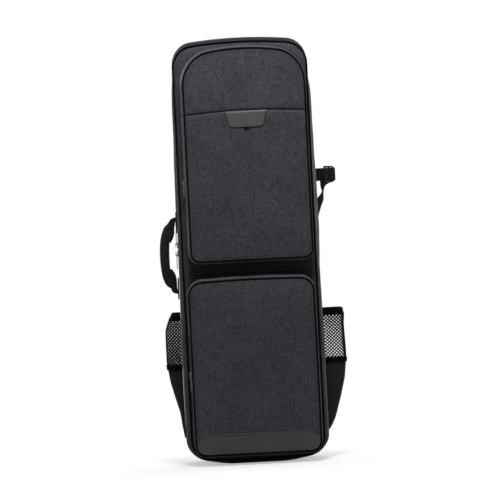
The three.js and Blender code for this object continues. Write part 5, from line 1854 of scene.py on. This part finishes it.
# The sleeve's tapered end: outer and inner point from the pivot, in millimetres, and its width
HANDLE_ENDS = [
    ((167.5, 30), (149, 39), 25), ((164, 20), (143.5, 30), 21), ((159.5, 11), (140.8, 21), 16),
    ((154, 2), (140.4, 12), 12), ((148.5, -5), (140.4, 2), 10), ((142.5, -8.6), (140.4, -6.5), 8),
]


class BAG_OT_handle(Operator):
    """Make the padded carrying handle and the patches that hold it"""

    bl_idname = "bag.handle"
    bl_label = "Carrying handle"

    def execute(self, context):
        stops = fine_stops(stops_of("handle_grip", 8), 0.003)
        grip = swept("handle_sleeve", stops, "canvas", pad_section(8, 2.5))
        for vertex in grip.data.vertices:
            x, y, z = vertex.co
            vertex.co.x = x + 0.0005 * ripple(x, y, z, 0.02, 9.2)
        place(grip, "handle", "handle_grip", slot="heather_canvas")
        seam = [centre + across * (wide / 2 + 0.0001)
                for centre, across, _, wide, _, _ in stops[2:-2]]
        place(stitches("handle_stitches", [seam]), "handle")
        for node, way in (("handle_anchor_lower", -1), ("handle_anchor_upper", 1)):
            (x0, y0, z0), (_, y1, z1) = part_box(node)
            flat = rounded_loop(y0, y1, z0, z1, 0.005, 0.005, 12, 6, 16)
            spot = -x0, (y0 + y1) / 2, (z0 + z1) / 2
            self.patch(context, node, flat)
            self.ear(context, node, spot, way)
            self.sleeve_end(node, spot, way)
        return {"FINISHED"}

    def on_wall(self, context, flat, inset, out):
        """An outline in Y and Z, pulled in by an inset and laid on the left wall."""
        case = context.scene.bag_case
        return np.array([(-wall_at(case, z) - GAP - out, y, z)
                         for y, z in flat - outward(flat) * inset])

    def patch(self, context, node, flat):
        rings = [self.on_wall(context, flat, inset, out) for out, inset in
                 ((0.0001, 0.0002), (0.0012, 0), (0.0021, 0.0004), (0.0024, 0.0014))]
        back, front = ([rim * (1 - s) + rim.mean(0) * s for s in (0.4, 0.8, 0.99)]
                       for rim in (rings[0], rings[-1]))
        points, faces = joined_rings(back[::-1] + rings + front)
        made = cleaned(f"{node}_patch", points, faces, "canvas", merge=COARSE)
        place(made, "case", node, slot="trim")
        rows = [shut(self.on_wall(context, flat, inset, 0.0025)) for inset in (0.0022, 0.0048)]
        place(stitches(f"{node}_stitches", rows), "case")

    def ear(self, context, node, spot, way):
        """The folded webbing that the handle's end turns on. It thins towards its sewn end."""
        case, sizes = context.scene.bag_case, context.scene.bag_back
        reach, y, pivot = spot
        under, foot = 0.0004, 0.0024
        rise = reach - wall_at(case, pivot) - GAP - foot
        rings = []
        for share in np.linspace(0, 1, 9):
            out = foot + rise * math.sqrt(max(0.0, 1 - share * share)) - under
            z = pivot + way * (0.0005 + sizes.ear * share)
            wide, wall = sizes.ear_wide * (1 + 0.5 * share), -wall_at(case, z) - GAP - under
            rings.append(np.array([(wall - out * (v + 1) / 2, y + u * wide / 2, z)
                                   for u, v in pad_section(5, 3.2)]))
        place(solid_of(f"{node}_ear", rings, "canvas"), "case", slot="webbing")

    def sleeve_end(self, node, spot, way):
        """The sleeve's tapered end, from the patch to where the sleeve is full."""
        _, y, pivot = spot
        rings = []
        for (x0, z0), (x1, z1), wide in HANDLE_ENDS:
            rings.append(np.array([
                (-(x0 + x1 + (x0 - x1) * v) / 2 * MM, y + u * wide / 2 * MM,
                 pivot - way * (z0 + z1 + (z0 - z1) * v) / 2 * MM) for u, v in pad_section(6, 3)]))
        place(solid_of(f"{node}_sleeve_end", rings, "canvas"), "handle", slot="heather_canvas")


# Inside, and the metal and moulded parts


class BAG_OT_inside(Operator):
    """Make the plush cradles and the strap that holds the instrument"""

    bl_idname = "bag.inside"
    bl_label = "Inside"

    def execute(self, context):
        for node in ("bell_cradle", "body_cradle", "neck_cradle"):
            copy = in_scene(f"{node}_foam", frame["nodes"][node].data.copy())
            copy.data.materials.clear()
            copy.data.materials.append(material("plush"))
            modify(copy, "WELD", merge_threshold=COARSE)
            modify(copy, "REMESH", mode="VOXEL", voxel_size=0.004)
            modify(copy, "SMOOTH", factor=0.5, iterations=6)
            foam = bake(copy)
            foam.data.shade_smooth()
            place(foam, "case", node, slot="plush")
        ribbon_piece("retaining_webbing", "retaining_strap")
        return {"FINISHED"}


class BAG_OT_hardware(Operator):
    """Round the edges of the sliders, pulls and ladder locks"""

    bl_idname = "bag.hardware"
    bl_label = "Hardware"

    def execute(self, context):
        for row in frame["record"]["subparts"]:
            if row["material_slot"] not in ("nickel", "nylon_plastic"):
                continue
            node = frame["nodes"][row["node"]]
            wide = 0.00025 if row["material_slot"] == "nickel" else 0.0005
            modify(node, "WELD", merge_threshold=FINE)
            modify(node, "BEVEL", width=wide, segments=2, limit_method="ANGLE", angle_limit=0.6)
        return {"FINISHED"}


# Materials and the stage


class BAG_OT_looks(Operator):
    """Make the materials and the node trees that the pieces use"""

    bl_idname = "bag.looks"
    bl_label = "Materials"

    def execute(self, context):
        tone = context.scene.bag_colours
        LOOKS["heather"] = cloth_look("Heather canvas", tone.heather, 0.0011, 0.42)
        LOOKS["canvas"] = cloth_look("Plain canvas", tone.canvas, 0.0009, 0.2, 0.82)
        LOOKS["trim"] = ribbed_look("Piping and binding", tone.trim, 0.0011, 0.6)
        LOOKS["spacer"] = spacer_look("Spacer mesh", tone.canvas)
        LOOKS["webbing"] = ribbed_look("Webbing and zip tape", tone.webbing, 0.0016)
        LOOKS["leather"] = leather_look("Coated leather", tone.leather, 0.48)
        LOOKS["badge"] = leather_look("Badge leather", tone.badge, 0.5)
        LOOKS["net"] = thread_look("Net", tone.net)
        LOOKS["plush"] = plush_look("Plush", tone.plush)
        LOOKS["thread"] = thread_look("Thread", tone.thread)
        LOOKS["nickel"] = nickel_look("Nickel", tone.nickel)
        LOOKS["plastic"] = plastic_look("Moulded plastic", tone.plastic)
        LOOKS["teeth"] = plastic_look("Zip teeth", tone.plastic)
        TREES["row"] = row_tree()
        TREES["strands"] = strand_tree()
        by_slot = {
            "heather_canvas": "heather", "plain_canvas": "canvas", "coated_leather": "leather",
            "badge_leather": "badge", "nylon_plastic": "plastic",
        }
        for row in frame["record"]["subparts"]:
            node, slot = frame["nodes"][row["node"]], row["material_slot"]
            node.data.materials.clear()
            node.data.materials.append(LOOKS[by_slot.get(slot, slot)])
        return {"FINISHED"}


# Place, size, power, height that it is aimed at and spread in degrees of each lamp
LAMPS = {
    "Key": ((0.05, -1.03, 2.1), 0.8, 7.6, 0.72, 60),
    "Fill": ((0.1, -3, 0.9), 1.4, 2.5, 0.42, 180),
    "Back": ((0.5, 2.2, 1.7), 1.6, 36, 0.42, 180),
    "Left side": ((-2.3, 1.1, 1.3), 1.4, 24, 0.42, 180),
    "Right side": ((2.3, 1.1, 1.3), 1.4, 24, 0.42, 180),
}


class BAG_OT_stage(Operator):
    """Set the floor, the studio light and the camera"""

    bl_idname = "bag.stage"
    bl_label = "Stage"

    def execute(self, context):
        scene, far = context.scene, 9
        corners = [(-far, -far, 0), (far, -far, 0), (far, far, 0), (-far, far, 0)]
        mesh_object("floor", corners, [(0, 1, 2, 3)], self.floor_look())
        world = bpy.data.worlds.new("Studio")
        scene.world = world
        world.use_nodes = True
        tree = world.node_tree
        tree.nodes.clear()
        room, white = (
            add_node(tree, "ShaderNodeBackground", {"Color": (1, 1, 1, 1), "Strength": strength})
            for strength in (scene.bag_stage.room_light, 1))
        mixed = add_node(tree, "ShaderNodeMixShader", {
            "Fac": self.seen(tree), 1: room.outputs[0], 2: white.outputs[0]})
        add_node(tree, "ShaderNodeOutputWorld", {"Surface": mixed.outputs[0]})
        for name, row in LAMPS.items():
            self.lamp(name, *row)
        self.camera(context, scene.bag_stage)
        scene.view_settings.view_transform = "Standard"
        return {"FINISHED"}

    def seen(self, tree):
        """1 for rays that show the background, seen straight on, mirrored or through glass."""
        ray = add_node(tree, "ShaderNodeLightPath").outputs
        seen = ray["Is Camera Ray"]
        for kind in ("Is Glossy Ray", "Is Transmission Ray"):
            seen = add_node(tree, "ShaderNodeMath", {0: seen, 1: ray[kind]},
                            operation="MAXIMUM").outputs[0]
        return seen

    def floor_look(self):
        """A pale floor that keeps the shadow near the bag and fades into the white beyond it."""
        made = bpy.data.materials.new("Pale floor")
        made.use_nodes = True
        tree = made.node_tree
        shader = tree.nodes["Principled BSDF"]
        shader.inputs["Base Color"].default_value = (0.78, 0.78, 0.78, 1)
        shader.inputs["Roughness"].default_value = 0.9
        spot = add_node(tree, "ShaderNodeTexCoord").outputs["Object"]
        far = add_node(tree, "ShaderNodeVectorMath", {0: spot}, operation="LENGTH").outputs["Value"]
        fade = add_node(tree, "ShaderNodeMapRange", {
            "Value": far, "From Min": 0.08, "From Max": 0.42, "To Min": 0.45},
            interpolation_type="SMOOTHSTEP").outputs["Result"]
        share = add_node(tree, "ShaderNodeMath", {0: fade, 1: self.seen(tree)},
                         operation="MULTIPLY")
        white = add_node(tree, "ShaderNodeEmission")
        mixed = add_node(tree, "ShaderNodeMixShader", {
            "Fac": share.outputs[0], 1: shader.outputs[0], 2: white.outputs[0]})
        tree.links.new(mixed.outputs[0], tree.nodes["Material Output"].inputs["Surface"])
        return made

    def lamp(self, name, spot, size, power, aim, spread):
        light = bpy.data.lights.new(name, "AREA")
        light.shape, light.size, light.energy = "DISK", size, power
        light.spread = math.radians(spread)
        made = in_scene(name, light)
        made.location = spot
        made.rotation_mode = "QUATERNION"
        made.rotation_quaternion = (Vector((0, 0, aim)) - Vector(spot)).to_track_quat("-Z", "Y")

    def camera(self, context, sizes):
        lens = bpy.data.cameras.new("Camera")
        made = in_scene("Camera", lens)
        turn, rise, roll = sizes.azimuth, sizes.elevation, sizes.roll
        level = math.cos(rise)
        back = Vector((math.sin(turn) * level, -math.cos(turn) * level, math.sin(rise)))
        side = Vector((0, 0, 1)).cross(back).normalized()
        up = back.cross(side)
        right = side * math.cos(roll) - up * math.sin(roll)
        top = side * math.sin(roll) + up * math.cos(roll)
        look_at = Vector((sizes.look_x, -0.1, sizes.look_z))
        made.matrix_world = Matrix.Translation(look_at + back * sizes.distance) @ Matrix(
            (right, top, back)).transposed().to_4x4()
        lens.sensor_width = 36
        lens.lens = lens.sensor_width * sizes.distance / sizes.frame_height
        lens.clip_start, lens.clip_end = 0.05, 50
        context.scene.camera = made


# Panel, registration and the run


PROPERTIES = {
    "bag_case": CaseSizes, "bag_upper": UpperPocketSizes, "bag_lower": LowerPocketSizes,
    "bag_trims": TrimSizes, "bag_bottle": BottleSizes, "bag_back": BackSizes,
    "bag_sewing": SewingSizes, "bag_colours": ClothColours, "bag_stage": StageSizes,
}

OPERATORS = [
    BAG_OT_looks, BAG_OT_case, BAG_OT_main_zip, BAG_OT_upper_pocket, BAG_OT_lower_pocket,
    BAG_OT_badge, BAG_OT_bumper, BAG_OT_bottle_pockets, BAG_OT_back_pads, BAG_OT_straps,
    BAG_OT_handle, BAG_OT_inside, BAG_OT_hardware, BAG_OT_stage,
]


class BAG_PT_panel(Panel):
    """Sizes, colours and pieces of the bag"""

    bl_label = "Saxophone bag"
    bl_idname = "BAG_PT_panel"
    bl_space_type = "VIEW_3D"
    bl_region_type = "UI"
    bl_category = "Bag"

    def draw(self, context):
        for key, group in PROPERTIES.items():
            box = self.layout.box()
            box.label(text=group.__doc__)
            for name in group.__annotations__:
                box.prop(getattr(context.scene, key), name)
        for operator in OPERATORS:
            self.layout.operator(operator.bl_idname)


def register():
    for made in [*PROPERTIES.values(), *OPERATORS, BAG_PT_panel]:
        bpy.utils.register_class(made)
    for key, group in PROPERTIES.items():
        setattr(bpy.types.Scene, key, PointerProperty(type=group))


def unregister():
    for key in PROPERTIES:
        delattr(bpy.types.Scene, key)
    for made in reversed([*PROPERTIES.values(), *OPERATORS, BAG_PT_panel]):
        bpy.utils.unregister_class(made)


def main():
    register()
    for operator in OPERATORS:
        group, call = operator.bl_idname.split(".")
        getattr(getattr(bpy.ops, group), call)()


if __name__ == "__main__":
    main()
